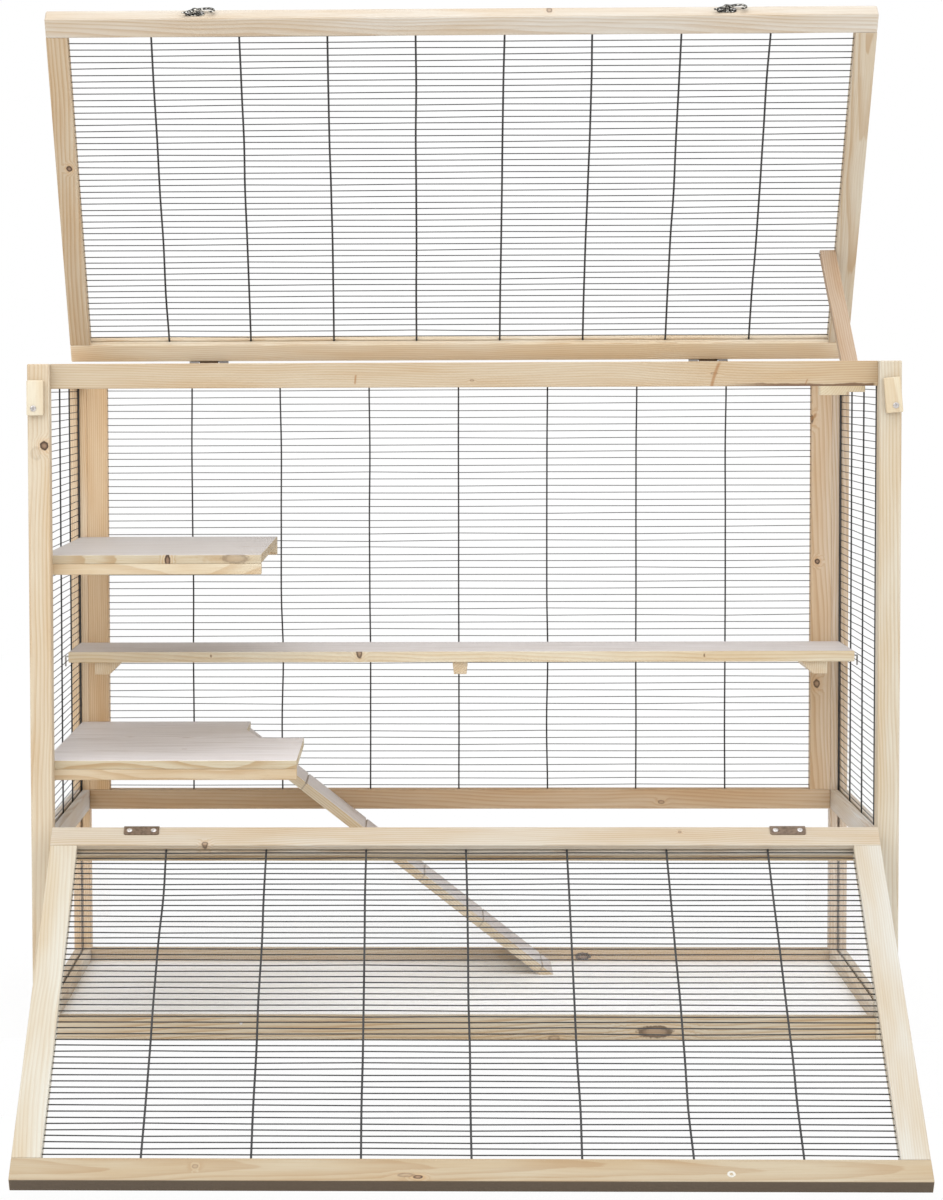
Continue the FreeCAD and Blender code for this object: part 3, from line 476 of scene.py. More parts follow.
STEP_FRONT = -296 * MM
STEP_DROP = -104 * MM
FLOOR_REACH = 6.0
WORLD_LIGHT = 1.2
ROOM_LIGHT = (("From Min", -0.1), ("From Max", 0.6), ("To Min", 0.06), ("To Max", 1.1))
LAMPS = (
    ("overhead", (0.1, -1.0, 3.9), (0, 0, 0.3), (3.4, 2.6), 44, (0.90, 0.95, 1.0)),
    ("key", (-1.8, -3.6, 2.6), (0, 0, 0.5), (3.2, 2.2), 30, (1.0, 0.985, 0.96)),
    ("fill", (2.6, -3.0, 1.6), (0, 0, 0.4), (2.6, 2.6), 16, (1.0, 0.985, 0.96)),
)


def floors():
    """A white table under the cage, with its front edge just before it, and a lower floor in front."""
    paper = floor_paper()
    left, right, back = -FLOOR_REACH, FLOOR_REACH, FLOOR_REACH
    edge = [(left, STEP_FRONT, 0), (right, STEP_FRONT, 0)]
    foot = [(left, STEP_FRONT, STEP_DROP), (right, STEP_FRONT, STEP_DROP)]
    table = [*edge, (right, back, 0), (left, back, 0), *foot]
    sheet("floor_table", table, [(0, 1, 2, 3), (4, 5, 1, 0)], paper)
    low = [(left, -FLOOR_REACH, STEP_DROP), (right, -FLOOR_REACH, STEP_DROP), *foot[::-1]]
    sheet("floor_low", low, [(0, 1, 2, 3)], paper)


def surroundings():
    """White to the camera and through glass, even light on the object, and a room darker below in metal."""
    world = bpy.data.worlds.new("studio")
    bpy.context.scene.world = world
    world.use_nodes = True
    nodes, links = world.node_tree.nodes, world.node_tree.links
    nodes.clear()
    path = nodes.new("ShaderNodeLightPath")
    shown = nodes.new("ShaderNodeMath")
    shown.operation = "MAXIMUM"
    links.new(path.outputs["Is Camera Ray"], shown.inputs[0])
    links.new(path.outputs["Is Transmission Ray"], shown.inputs[1])
    direction = nodes.new("ShaderNodeTexCoord")
    parts = nodes.new("ShaderNodeSeparateXYZ")
    height = nodes.new("ShaderNodeMapRange")
    links.new(direction.outputs["Generated"], parts.inputs[0])
    links.new(parts.outputs["Z"], height.inputs["Value"])
    for socket, value in ROOM_LIGHT:
        height.inputs[socket].default_value = value
    room, seen, lighting = (nodes.new("ShaderNodeBackground") for _ in range(3))
    links.new(height.outputs[0], room.inputs["Strength"])
    for background, strength in ((seen, 1.0), (lighting, WORLD_LIGHT)):
        background.inputs["Color"].default_value = WHITE
        background.inputs["Strength"].default_value = strength
    mirrored, mixed = (nodes.new("ShaderNodeMixShader") for _ in range(2))
    output = nodes.new("ShaderNodeOutputWorld")
    for mixer, factor, first, second in (
        (mirrored, path.outputs["Is Glossy Ray"], lighting, room),
        (mixed, shown.outputs[0], mirrored, seen),
    ):
        links.new(factor, mixer.inputs[0])
        links.new(first.outputs[0], mixer.inputs[1])
        links.new(second.outputs[0], mixer.inputs[2])
    links.new(mixed.outputs[0], output.inputs["Surface"])


def lamps():
    """Three large soft lamps: name, place, what it faces, size, power and colour."""
    for name, place, aim, wide, power, colour in LAMPS:
        lamp = bpy.data.lights.new(name, "AREA")
        lamp.color = colour
        lamp.shape = "RECTANGLE"
        lamp.size, lamp.size_y = wide
        lamp.energy = power
        item = bpy.data.objects.new(name, lamp)
        item.location = place
        item.rotation_euler = (Vector(aim) - Vector(place)).to_track_quat("-Z", "Y").to_euler()
        bpy.context.scene.collection.objects.link(item)


def studio():
    """Floor, surroundings and lamps, shown through the Standard view transform, with no curve on the colours.
    """
    floors()
    surroundings()
    lamps()
    bpy.context.scene.view_settings.view_transform = "Standard"


# Meshes


def put(name, body, nodes, parts, material, smooth=True):
    """Make one object from (points, faces) parts and let it stand for CAD nodes on a body."""
    points = np.concatenate([part[0].reshape(-1, 3) for part in parts])
    faces = []
    start = 0
    for part_points, part_faces in parts:
        faces += [[start + index for index in face] for face in part_faces]
        start += part_points.reshape(-1, 3).shape[0]
    mesh = bpy.data.meshes.new(name)
    mesh.from_pydata(points.tolist(), [], faces)
    mesh.polygons.foreach_set("use_smooth", np.full(len(mesh.polygons), smooth))
    mesh.update()
    mesh.materials.append(material)
    piece = bpy.data.objects.new(name, mesh)
    bpy.context.scene.collection.objects.link(piece)
    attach(piece, body)
    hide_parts(*nodes)
    return piece


def tube(path, first, second, sides):
    """Bar along a path, closed at both ends: ring k is path[k] + cos a first[k] + sin a second[k]."""
    first, second = (np.broadcast_to(way, path.shape) for way in (first, second))
    angles = (np.arange(sides) * (2 * math.pi / sides))[None, :, None]
    points = path[:, None, :] + np.cos(angles) * first[:, None, :] + np.sin(angles) * second[:, None, :]
    return points, ring_faces(len(path), sides)


def ring_faces(rows, sides):
    """Quads of a closed tube with rows rings, and one many-sided face at each end."""
    index = np.arange(rows * sides).reshape(rows, sides)
    beside = np.roll(index, -1, 1)
    quads = np.stack([index[:-1], beside[:-1], beside[1:], index[1:]], -1).reshape(-1, 4)
    return quads.tolist() + [index[0][::-1].tolist(), index[-1].tolist()]


def square_ways(way):
    """Two unit directions square to a way, which with it make a right-handed set."""
    way = np.asarray(way, float)
    first = np.cross(way, Z if abs(way[2]) < 0.9 else X)
    first /= np.linalg.norm(first)
    return first, np.cross(way, first)


CORNER_STEPS = 7
EASE_STEPS = 4


def slab(centre, first, second, out, size, thick, rounding, ease):
    """Plate with rounded corners and eased edges, on the centre of its lower face.

    The outline in the plane of first and second is a rectangle whose corners are arcs of the rounding's
    radius. Ring k of the plate is that outline drawn in by ease (1 - sin a) at the depth ease (1 - cos a), a
    from 0 to 90 degrees, at the lower face, and the same in reverse at the upper one.
    """
    centre, first, second, out = (np.asarray(value, float) for value in (centre, first, second, out))
    turns = np.linspace(0, math.pi / 2, CORNER_STEPS)
    angles = np.concatenate([turns + quarter * math.pi / 2 for quarter in range(4)])
    outward = np.stack([np.cos(angles), np.sin(angles)], -1)
    quarters = np.repeat([[1, 1], [-1, 1], [-1, -1], [1, -1]], CORNER_STEPS, 0)
    middle = quarters * (np.array(size) / 2 - rounding)
    edge = np.linspace(0, math.pi / 2, EASE_STEPS)
    drawn_in, depth = ease * (1 - np.sin(edge)), ease * (1 - np.cos(edge))
    inset = np.concatenate([drawn_in, drawn_in[::-1]])
    level = np.concatenate([depth, thick - depth[::-1]])
    flat = middle[None] + outward[None] * (rounding - inset[:, None, None])
    points = centre + flat[..., :1] * first + flat[..., 1:] * second + level[:, None, None] * out
    return points, ring_faces(len(level), len(angles))


def sagging(rng, count, steps, stations, loose):
    """Sideways wander of count wires over steps samples.

    At each station, a weld, the wander is a random number of size loose; between stations it turns over
    smoothly by the cosine rule, value = a + (b - a)(1 - cos(pi t))/2.
    """
    knots = rng.normal(0, loose, (count, len(stations)))
    reach = np.linspace(stations[0], stations[-1], steps)
    index = np.clip(np.searchsorted(stations, reach, side="right") - 1, 0, len(stations) - 2)
    share = (reach - stations[index]) / (stations[index + 1] - stations[index])
    share = (1 - np.cos(np.pi * share)) / 2
    return knots[:, index] * (1 - share) + knots[:, index + 1] * share


# The CAD sheets' half bars and spacings, and the radii of each sheet's line and cross wires as drawn here
LINE_RADIUS = 0.9 * MM
CROSS_RADIUS = 1.3 * MM
LINE_PITCH = 10.12 * MM
CROSS_PITCH = 131.5 * MM
LID_CROSS_PITCH = 122.6 * MM
DOOR_MESH_SHIFT = 2.8 * MM
WALL_WIRE = (0.58 * MM, 1.15 * MM)
LID_WIRE = (0.74 * MM, 1.38 * MM)
DOOR_WIRE = (0.86 * MM, 1.35 * MM)
# How far the wires bed into each other, and how far they wander in the sheet's plane and out of it
WELD_SINK = 0.36
LINE_WANDER = 0.38 * MM
LINE_LIFT = 0.25 * MM
CROSS_WANDER = 0.5 * MM
CROSS_STATIONS = 7
CROSS_STEPS = 25
LINE_SIDES = 5
CROSS_SIDES = 8
WIRE = wire_paint()


def welded_mesh(name, body, placement, columns, rows, ways, centre, gauge):
    """Welded wire panel: thin line wires on one side, thicker cross wires on the other, each slightly bent.

    Wire k is the straight line at its row or column plus the wander of sagging(). The ways are those of the
    line wires, of the cross wires and out of the sheet on the cross wires' side.
    """
    rng = seeded(name)
    line_way, cross_way, out_way = (np.array(way, float) for way in ways)
    turn = placement[:3, :3]
    line_radius, cross_radius = gauge
    sink = (line_radius + cross_radius) * WELD_SINK
    centre = np.asarray(centre, float)

    def wire(path, side_way, radius, sides):
        return tube(moved(path, placement), turn @ side_way * radius, turn @ out_way * radius, sides)

    parts = []
    steps = 2 * len(columns) - 1
    reach = np.linspace(columns[0] - CROSS_RADIUS, columns[-1] + CROSS_RADIUS, steps)
    wander = sagging(rng, len(rows), steps, columns, LINE_WANDER)
    lift = sagging(rng, len(rows), steps, columns, LINE_LIFT)
    for row, side, out in zip(rows, wander, lift):
        path = centre + reach[:, None] * line_way
        path = path + (row + side)[:, None] * cross_way + (out - sink)[:, None] * out_way
        parts.append(wire(path, cross_way, line_radius, LINE_SIDES))
    stations = np.linspace(rows[0], rows[-1], CROSS_STATIONS)
    reach = np.linspace(rows[0] - LINE_RADIUS, rows[-1] + LINE_RADIUS, CROSS_STEPS)
    wander = sagging(rng, len(columns), CROSS_STEPS, stations, CROSS_WANDER)
    for column, side in zip(columns, wander):
        path = centre + (column + side)[:, None] * line_way
        path = path + reach[:, None] * cross_way + sink * out_way
        parts.append(wire(path, line_way, cross_radius, CROSS_SIDES))
    put(name, body, [name], parts, WIRE)


def centred(count):
    """As many numbers, one apart, with their mean at zero."""
    return np.arange(count) - (count - 1) / 2


def rows_between(low, high):
    """Line wires one pitch apart, centred between two levels, as the CAD lays them."""
    gaps = round((high - low - 2 * LINE_RADIUS) / LINE_PITCH)
    return (low + high) / 2 + centred(gaps + 1) * LINE_PITCH


def all_meshes():
    """The five welded panels, each laid where its CAD sheet is."""
    low, high = node_box("back_mesh")
    rows = rows_between(low[2], high[2])
    centre = (0, (low[1] + high[1]) / 2, 0)
    columns = centred(9) * CROSS_PITCH
    welded_mesh("back_mesh", "cage", STANDING, columns, rows, (X, Z, FORWARD), centre, WALL_WIRE)
    for side, inward in (("left", X), ("right", (-1, 0, 0))):
        name = "side_mesh_" + side
        low, high = node_box(name)
        centre = ((low[0] + high[0]) / 2, 0, 0)
        columns = low[1] + CROSS_RADIUS + np.arange(5) * CROSS_PITCH
        columns = np.append(columns, high[1] - CROSS_RADIUS)
        welded_mesh(name, "cage", STANDING, columns, rows, (Y, Z, inward), centre, WALL_WIRE)
    low, high = node_box("lid_mesh", LID)
    rows = rows_between(low[1], high[1])
    centre = (0, 0, (low[2] + high[2]) / 2)
    columns = centred(10) * LID_CROSS_PITCH
    welded_mesh("lid_mesh", "lid", LID, columns, rows, (X, Y, DOWN), centre, LID_WIRE)
    low, high = node_box("door_mesh", DOOR)
    rows = rows_between(low[2], high[2])
    centre = (0, (low[1] + high[1]) / 2, 0)
    columns = centred(7) * CROSS_PITCH + DOOR_MESH_SHIFT
    columns = np.concatenate([[low[0] + CROSS_RADIUS], columns, [high[0] - CROSS_RADIUS]])
    welded_mesh("door_mesh", "door", DOOR, columns, rows, (X, Z, Y), centre, DOOR_WIRE)


# Boards


def board(node, length, breadth, placement=STANDING, knots=(), **look):
    """A row of BOARDS. A knot is its place and size in mm, its depth of colour and its stretch."""
    return node, length, breadth, placement, knots, look


# Each board's colour factor holds painted light and shade as well as the wood's own colour.
BOARDS = (
    board(
        "front_post_left", Z, X,
        knots=(((-553, -290, 792), 5.4, 1.0, 1.05), ((-564, -290, 782), 7, 0.1, 1.3)),
        tone=(0.95, 0.94, 0.95),
        contrast=0.95,
    ),
    board("front_post_right", Z, X, tone=(0.93, 0.99, 1.10), contrast=0.85),
    board("rear_post_left", Z, X, tone=(1.18, 1.09, 1.04), contrast=1.05),
    board("rear_post_right", Z, X, tone=(0.94, 0.93, 1.02), contrast=1.05),
    board(
        "front_top_rail", X, Z,
        knots=(((12, -271, 876), 1.4, 0.4, 2.0), ((331, -271, 884), 1.6, 0.3, 3.0)),
        tone=(0.83, 0.79, 0.76),
        bark_edge=(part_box("front_top_rail")[0][2], 0.32, 0.543),
        streaks=(
            ((331, -271, 880), 0.30, 22, 3.4),
            ((-142, -271, 878), 0.1, 7, 2.0),
            ((452, -271, 872), 0.4, 5, 1.4),
        ),
    ),
    board("front_mid_rail", X, Z, tone=(0.9, 0.87, 0.83)),
    board(
        "front_base_rail", X, Z,
        knots=(((254, -290, 11), 8.0, 0.62, 2.8), ((120, -290, 2), 4.0, 0.3, 2.0)),
        tone=(0.89, 0.90, 0.93),
        contrast=1.4,
    ),
    *(board("side_top_rail_" + side, Y, Z, tone=(0.95, 0.92, 0.9)) for side in ("left", "right")),
    board("side_mid_rail_left", Y, Z, tone=(0.97, 1.09, 1.44), contrast=1.3),
    board("side_mid_rail_right", Y, Z, tone=(0.93, 1.03, 1.3), contrast=1.3),
    *(board("side_base_rail_" + side, Y, Z, tone=(0.93, 0.97, 1.1)) for side in ("left", "right")),
    board("back_top_rail", X, Z, tone=(0.92, 0.9, 0.86)),
    board(
        "back_mid_rail", X, Z,
        knots=(((300, 261, 250), 3.0, 0.4, 1.6),),
        tone=(0.845, 0.735, 0.665),
        contrast=0.9,
    ),
    board("back_base_rail", X, Z, knots=(((184, 261, 19), 5.4, 1.0, 2.1),), tone=(0.86, 0.80, 0.75)),
    board(
        "back_stile_left", Z, X,
        knots=(((-533, 261, 350), 3.0, 0.2, 1.5),),
        tone=(1.10, 0.96, 0.835),
        contrast=1.05,
    ),
    board(
        "back_stile_right", Z, X,
        knots=(
            ((517, 261, 817), 5.5, 0.8, 1.3),
            ((529, 261, 607), 3.6, 1.0, 1.1),
            ((529, 261, 426), 4.6, 0.8, 1.3),
        ),
        tone=(0.95, 0.89, 0.89),
        contrast=1.05,
        streaks=(((519, 261, 817), 0.8, 9, 5),),
    ),
    board(
        "upper_platform", X, Y,
        knots=(
            ((-393, -261, 638), 3.6, 1.0, 1.0),
            ((-303, -261, 641), 3.0, 0.28, 6.0),
            ((-300, -40, 646), 2.4, 0.4, 2.5),
        ),
        tone=(0.85, 0.87, 0.88),
        contrast=1.5,
        greyed=(0.57, 0.54, 0.53),
    ),
    board("upper_platform_battens", X, Y),
    board(
        "lower_platform", X, Y,
        knots=(
            ((-382, -120, 371), 2.6, 0.5, 1.4),
            ((-470, 40, 371), 3.0, 0.3, 1.2),
            ((-390, 30, 371), 2.0, 0.5, 3.0),
        ),
        tone=(0.92, 0.97, 1.0),
        contrast=1.6,
        greyed=(0.80, 0.77, 0.79),
    ),
    board("lower_platform_battens", X, Y, tone=(0.96, 0.93, 0.9)),
    board(
        "long_shelf", X, Y,
        knots=(
            ((-144, 67, 488), 3.4, 0.8, 1.2),
            ((347, 67, 484), 1.0, 0.8, 1.0),
            ((-356, 67, 484), 0.9, 0.8, 1.0),
        ),
        tone=(1.06, 1.10, 1.14),
        contrast=0.85,
        greyed=(0.65, 0.61, 0.61),
    ),
    board("shelf_battens", Y, X, tone=(1.08, 1.1, 1.15)),
    board("prop_ledge", Y, X, tone=(1.04, 1.04, 1.0)),
    board("lid_front_rail", X, Y, LID, (((123, -580.9, 18), 3.0, 0.5, 1.3),), tone=(0.94, 1.0, 1.17)),
    board("lid_rear_rail", X, Y, LID, tone=(1.16, 1.18, 1.25)),
    board(
        "lid_stile_left", Y, X, LID,
        knots=(((-556, -339, 1.5), 4.0, 1.0, 1.1),),
        tone=(0.86, 0.815, 0.79),
        contrast=1.3,
    ),
    board("lid_stile_right", Y, X, LID, tone=(0.87, 0.88, 0.93), contrast=1.3),
    board(
        "door_hinge_rail", X, Z, DOOR,
        knots=(((-341, 21.4, 35), 4.2, 0.65, 1.0), ((284, 21.4, 12), 2.2, 0.45, 1.0)),
        tone=(0.86, 0.90, 1.01),
    ),
    board(
        "door_free_rail", X, Z, DOOR,
        knots=(
            ((-325, 21.4, 606), 3.4, 0.3, 1.1),
            ((-61, 21.4, 622), 2.8, 0.9, 2.0),
            ((-75, 21.4, 619), 3.4, 0.3, 3.0),
        ),
        tone=(0.715, 0.68, 0.635),
        contrast=0.9,
    ),
    board("door_stile_left", Z, X, DOOR, tone=(0.91, 0.995, 1.145), contrast=0.6),
    board("door_stile_right", Z, X, DOOR, tone=(0.88, 0.97, 1.155), contrast=0.6),
)
# How far edges are rounded
EASED = 1.1 * MM
RAMP_EASED = 0.6 * MM
PROP_EASED = 0.8 * MM
LEAF_EASED = 0.25 * MM
SOFT_EDGES = {
    "lid_front_rail": 3.2 * MM,
    "lid_rear_rail": 2.0 * MM,
    "front_post_left": 1.6 * MM,
    "front_post_right": 1.6 * MM,
}
SAME_PLACE = 0.00002
# The ramp's slope, and its grooves from its top end on, in mm
RAMP_SLOPE = math.atan2(349, 445)
GROOVE_START = 110
GROOVE_PITCH = 109
GROOVE_COUNT = 5
GROOVE_HALF_LENGTH = 90
GROOVE_HALF_WIDTH = 1.5


def bevelled(piece, name, width, segments, angle):
    """A bevel of the edges sharper than an angle in degrees."""
    bevel = piece.modifiers.new(name, "BEVEL")
    bevel.width = width
    bevel.segments = segments
    bevel.limit_method = "ANGLE"
    bevel.angle_limit = math.radians(angle)
    return bevel


def ease_edges(piece, width):
    """Join a CAD solid's loose triangles and round its sharp edges, as a sander does."""
    weld = piece.modifiers.new("join", "WELD")
    weld.merge_threshold = SAME_PLACE
    bevel = bevelled(piece, "eased_edge", width, 3, 40)
    bevel.use_clamp_overlap = True
    bevel.miter_outer = "MITER_ARC"


def dress(node, material):
    """Give a CAD node its finished material."""
    mesh = frame["nodes"][node].data
    mesh.materials.clear()
    mesh.materials.append(material)


def all_boards():
    """Every plain wooden piece keeps its CAD solid and gets eased edges and its own cut of pine."""
    for node, length, breadth, placement, knots, look in BOARDS:
        # The door's free rail gets painted shade on its lower end face.
        if node == "door_free_rail":
            end = node_box(node, DOOR)[1][2]
            way = DOOR[:3, :3] @ Z
            look["painted_end_shade"] = (way, float(moved([0, 0, end], DOOR) @ way))
        dress(node, pine(node, length, breadth, placement, knots, **look))
        ease_edges(frame["nodes"][node], SOFT_EDGES.get(node, EASED))
    ramp_finish()
    prop_finish()


def ramp_finish():
    """Pine along the slope, with a painted sheen of grey on the faces that look up, and darker strips along
    the grooves.
    """
    run = np.array([math.cos(RAMP_SLOPE), 0, -math.sin(RAMP_SLOPE)])
    low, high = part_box("ramp")
    top = np.array([low[0], (low[1] + high[1]) / 2, high[2]]) / MM
    places = [tuple(top + run * (GROOVE_START + GROOVE_PITCH * index)) for index in range(GROOVE_COUNT)]
    look = {
        "tone": (1.0, 1.02, 1.05),
        "contrast": 1.5,
        "greyed": (0.66, 0.62, 0.62),
        "streaks": [(place, 0.0, GROOVE_HALF_LENGTH, GROOVE_HALF_WIDTH) for place in places],
        # The grooves are drawn as darker strips along them.
        "streak": DARK_MARK,
    }
    dress("ramp", pine("ramp", run, Y, **look))
    ease_edges(frame["nodes"]["ramp"], RAMP_EASED)


def prop_finish():
    """Pine along the prop, darkened by a colour factor that holds painted shade; its length runs from its
    pivot to the foot.
    """
    pivot = np.array(joints["prop_pivot"]["pos_m"])
    low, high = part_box("prop")
    foot = np.array([(high[0] + low[0]) / 2, low[1], low[2]])
    way = (foot - pivot) / np.linalg.norm(foot - pivot)
    dress("prop", pine("prop", way, square_ways(way)[0], tone=(0.72, 0.63, 0.61), contrast=1.2))
    ease_edges(frame["nodes"]["prop"], PROP_EASED)


# Fittings. Places are in mm, those on the lid and the door from the hinge axis of the closed piece.
SIDES = (-1, 1)
BUTTON_X = 566
BUTTON_LEVEL = 841.5
LID_HINGE_X = 370
DOOR_HINGE_X = 426
LEAF_SCREW_HALF = 16
LATCH_X = 367
LATCH_SCREW_HALF = 9.7
LATCH_LEVEL = 13.5
KEEPER_LEVEL = 616.5
STUD_X = 308
POST_FACE = 575
PROP_SCREW_OUT = 11.3 * MM


def metal(name, colour, roughness, grain=900.0, marks_and_reflection=0.12, patches=(0.35, 0.75)):
    """Plated steel: a light spangle in colour and roughness, and fine rolling lines. A large darkening turns
    the spangle's patches near black as a painted reflection of dark surroundings.
    """
    graph = Graph(name)
    point = graph.place()
    spangle = graph.noise(point, grain * 0.25, 2.0)
    lines = graph.noise(graph.add("Mapping", None, {"Vector": point, "Scale": (1, 7, 7)}), grain, 2.0)
    # The patches' colour: a zinc spangle at small darkening, a painted reflection near black at large.
    dark_patch = tuple(channel * (1 - marks_and_reflection * 3) for channel in colour)
    return graph.finish(
        Base_Color=graph.mix(spangle.step(*patches), colour, dark_patch),
        Metallic=1.0,
        Roughness=roughness + spangle * 0.16 + lines * 0.06,
        Normal=graph.bump(lines, 0.00008, 0.5),
    )


HEAD_SIDES = 32
HEAD_FALL = 0.8
RECESS_HALF = 0.2
RECESS_END = 0.66
RECESS_SLOPE = 0.12
RECESS_DEPTH = 0.75


def screw_head(place, way, radius, dome):
    """Pan head with a cross recess.

    Height over the seat = dome sqrt(1 - 0.8 r^2) less the recess, whose depth falls with the distance from
    the cross's two arms, min(|x|, |y|), and towards RECESS_END. The rings run from the seat in to the middle,
    and the first lies below the seat.
    """
    share = np.concatenate([[1.0, 1.0], np.linspace(0.97, 0.05, 9)])
    angles = np.arange(HEAD_SIDES) * (2 * math.pi / HEAD_SIDES)
    x, y = share[:, None] * np.cos(angles), share[:, None] * np.sin(angles)
    height = dome * np.sqrt(1 - HEAD_FALL * x * x - HEAD_FALL * y * y)
    arm = np.clip(1 - np.minimum(abs(x), abs(y)) / RECESS_HALF, 0, 1)
    arm = arm * np.clip((RECESS_END - share[:, None]) / RECESS_SLOPE, 0, 1)
    height = height - arm * dome * RECESS_DEPTH
    height[0] = -0.2 * MM
    first, second = square_ways(way)
    x, y = x[..., None] * radius, y[..., None] * radius
    points = place + x * first + y * second + height[..., None] * way
    return points, ring_faces(len(share), HEAD_SIDES)


def head_at(place, way, radius, dome, placement=STANDING):
    """A screw head from its place, radius and height in mm."""
    return screw_head(moved(mm(*place), placement), placement[:3, :3] @ way, radius * MM, dome * MM)


def hung_slab(placement, centre, ways, size, thick, rounding, ease):
    """A plate from its place and sizes in mm."""
    ways = (placement[:3, :3] @ way for way in ways)
    return slab(moved(mm(*centre), placement), *ways, mm(*size), thick * MM, rounding * MM, ease * MM)


def turned(placement, place, way, profile, sides=28):
    """Lathe piece: ring k has radius profile[k][0] and stands profile[k][1] along the way, all in mm."""
    profile = np.array(profile) * MM
    way = placement[:3, :3] @ way
    first, second = square_ways(way)
    path = moved(mm(*place), placement) + profile[:, 1:] * way
    return tube(path, profile[:, :1] * first, profile[:, :1] * second, sides)


# Y and Z of the screws through each side's front and rear post
POST_SCREWS = ((-268.2, 14.5), (-268.2, 254.5), (-265.7, 883.5), *((279.7, z) for z in (14.5, 254.5, 883.5)))


def all_screws(bright):
    """Every screw head, on the cage, the lid and the door, from its place and the way it faces."""

    def both_sides(middle, half):
        return [middle * side + half * end for side in SIDES for end in SIDES]

    lid_leaf = both_sides(LID_HINGE_X, LEAF_SCREW_HALF)
    door_leaf = both_sides(DOOR_HINGE_X, LEAF_SCREW_HALF)
    latch = both_sides(LATCH_X, LATCH_SCREW_HALF)
    heads = [head_at((BUTTON_X * side, -300.6, BUTTON_LEVEL), FORWARD, 4.0, 1.4) for side in SIDES]
    for side in SIDES:
        heads += [head_at((POST_FACE * side, *place), (side, 0, 0), 3.6, 0.5) for place in POST_SCREWS]
    heads += [head_at((-297, -290.1, 22), FORWARD, 2.0, 0.8)]
    heads += [head_at((x, 291.3, 888.7), Y, 3.4, 0.4) for x in lid_leaf]
    heads += [head_at((x, -281.2, 270.3), Z, 3.4, 0.3) for x in door_leaf]
    put("frame_screws_heads", "cage", ["frame_screws"], heads, bright)
    heads = [head_at((x, -1.6, 12.8), Y, 3.4, 0.4, LID) for x in lid_leaf]
    heads += [head_at((x, -582.4, LATCH_LEVEL), FORWARD, 1.9, 0.7, LID) for x in latch]
    pivot = np.array(joints["prop_pivot"]["pos_m"])
    way = -np.array(joints["prop_pivot"]["axis"])
    heads += [screw_head(pivot + way * PROP_SCREW_OUT, way, 3.8 * MM, 1.5 * MM)]
    put("lid_screws_heads", "lid", ["lid_screws"], heads, bright)
    heads = [head_at((x, 22.7, 9.5), Y, 3.7, 1.1, DOOR) for x in door_leaf]
    heads += [head_at((x, 1.6, KEEPER_LEVEL), FORWARD, 1.9, 0.7, DOOR) for x in latch]
    put("door_screws_heads", "door", ["door_screws"], heads, bright)


# A turn button's width, height and thickness, its rounding and easing, and its middle from its pivot, in mm
BUTTON_SIZE = (22, 46.5)
BUTTON_THICK = 9.9
BUTTON_ROUNDING = 1.8
BUTTON_EASE = 1.3
BUTTON_INWARD = 2
BUTTON_RISE = 13.75
# Each button's side, lean in degrees and colour factor, which holds painted light and shade as well as the
# wood's own colour
BUTTONS = (("left", -1, 0.0, (1.06, 1.1, 1.15)), ("right", 1, -5.0, (1.0, 1.0, 0.98)))


def turn_buttons():
    """Wooden turn buttons with well rounded edges."""
    for name, side, lean, tone in BUTTONS:
        node = "turn_button_" + name
        spin = math.radians(lean)
        first = (math.cos(spin), 0, -math.sin(spin))
        second = (math.sin(spin), 0, math.cos(spin))
        pivot = mm(BUTTON_X * side, -290.4, BUTTON_LEVEL)
        middle = pivot + np.array(first) * (-BUTTON_INWARD * side) * MM + np.array(second) * BUTTON_RISE * MM
        ways = (first, (-second[0], 0, -second[2]), FORWARD)
        sizes = (mm(*BUTTON_SIZE), BUTTON_THICK * MM, BUTTON_ROUNDING * MM, BUTTON_EASE * MM)
        wood = pine(node, second, first, tone=tone, contrast=0.8)
        put(node + "_block", name + "_button", [node], [slab(middle, *ways, *sizes)], wood)


def normals(line):
    """Unit normals of a line in a plane, a quarter turn to the left of its way."""
    slope = np.gradient(line, axis=0)
    slope /= np.linalg.norm(slope, axis=1)[:, None]
    return np.stack([-slope[:, 1], slope[:, 0]], -1)


# Half widths along X of the door leaf's strap at its knuckle and of its plate, and the plate's corner radius
KNUCKLE_HALF = 11.2
PLATE_HALF = 23.4
PLATE_CORNER = 3
# The door leaf's half thickness, its bend radius, how far it lies inside and under the rail, and its top
LEAF_HALF_THICK = 0.65
LEAF_BEND = 1.4
LEAF_INSIDE = 22.05
LEAF_UNDER = 0.85
LEAF_TOP = 17.4


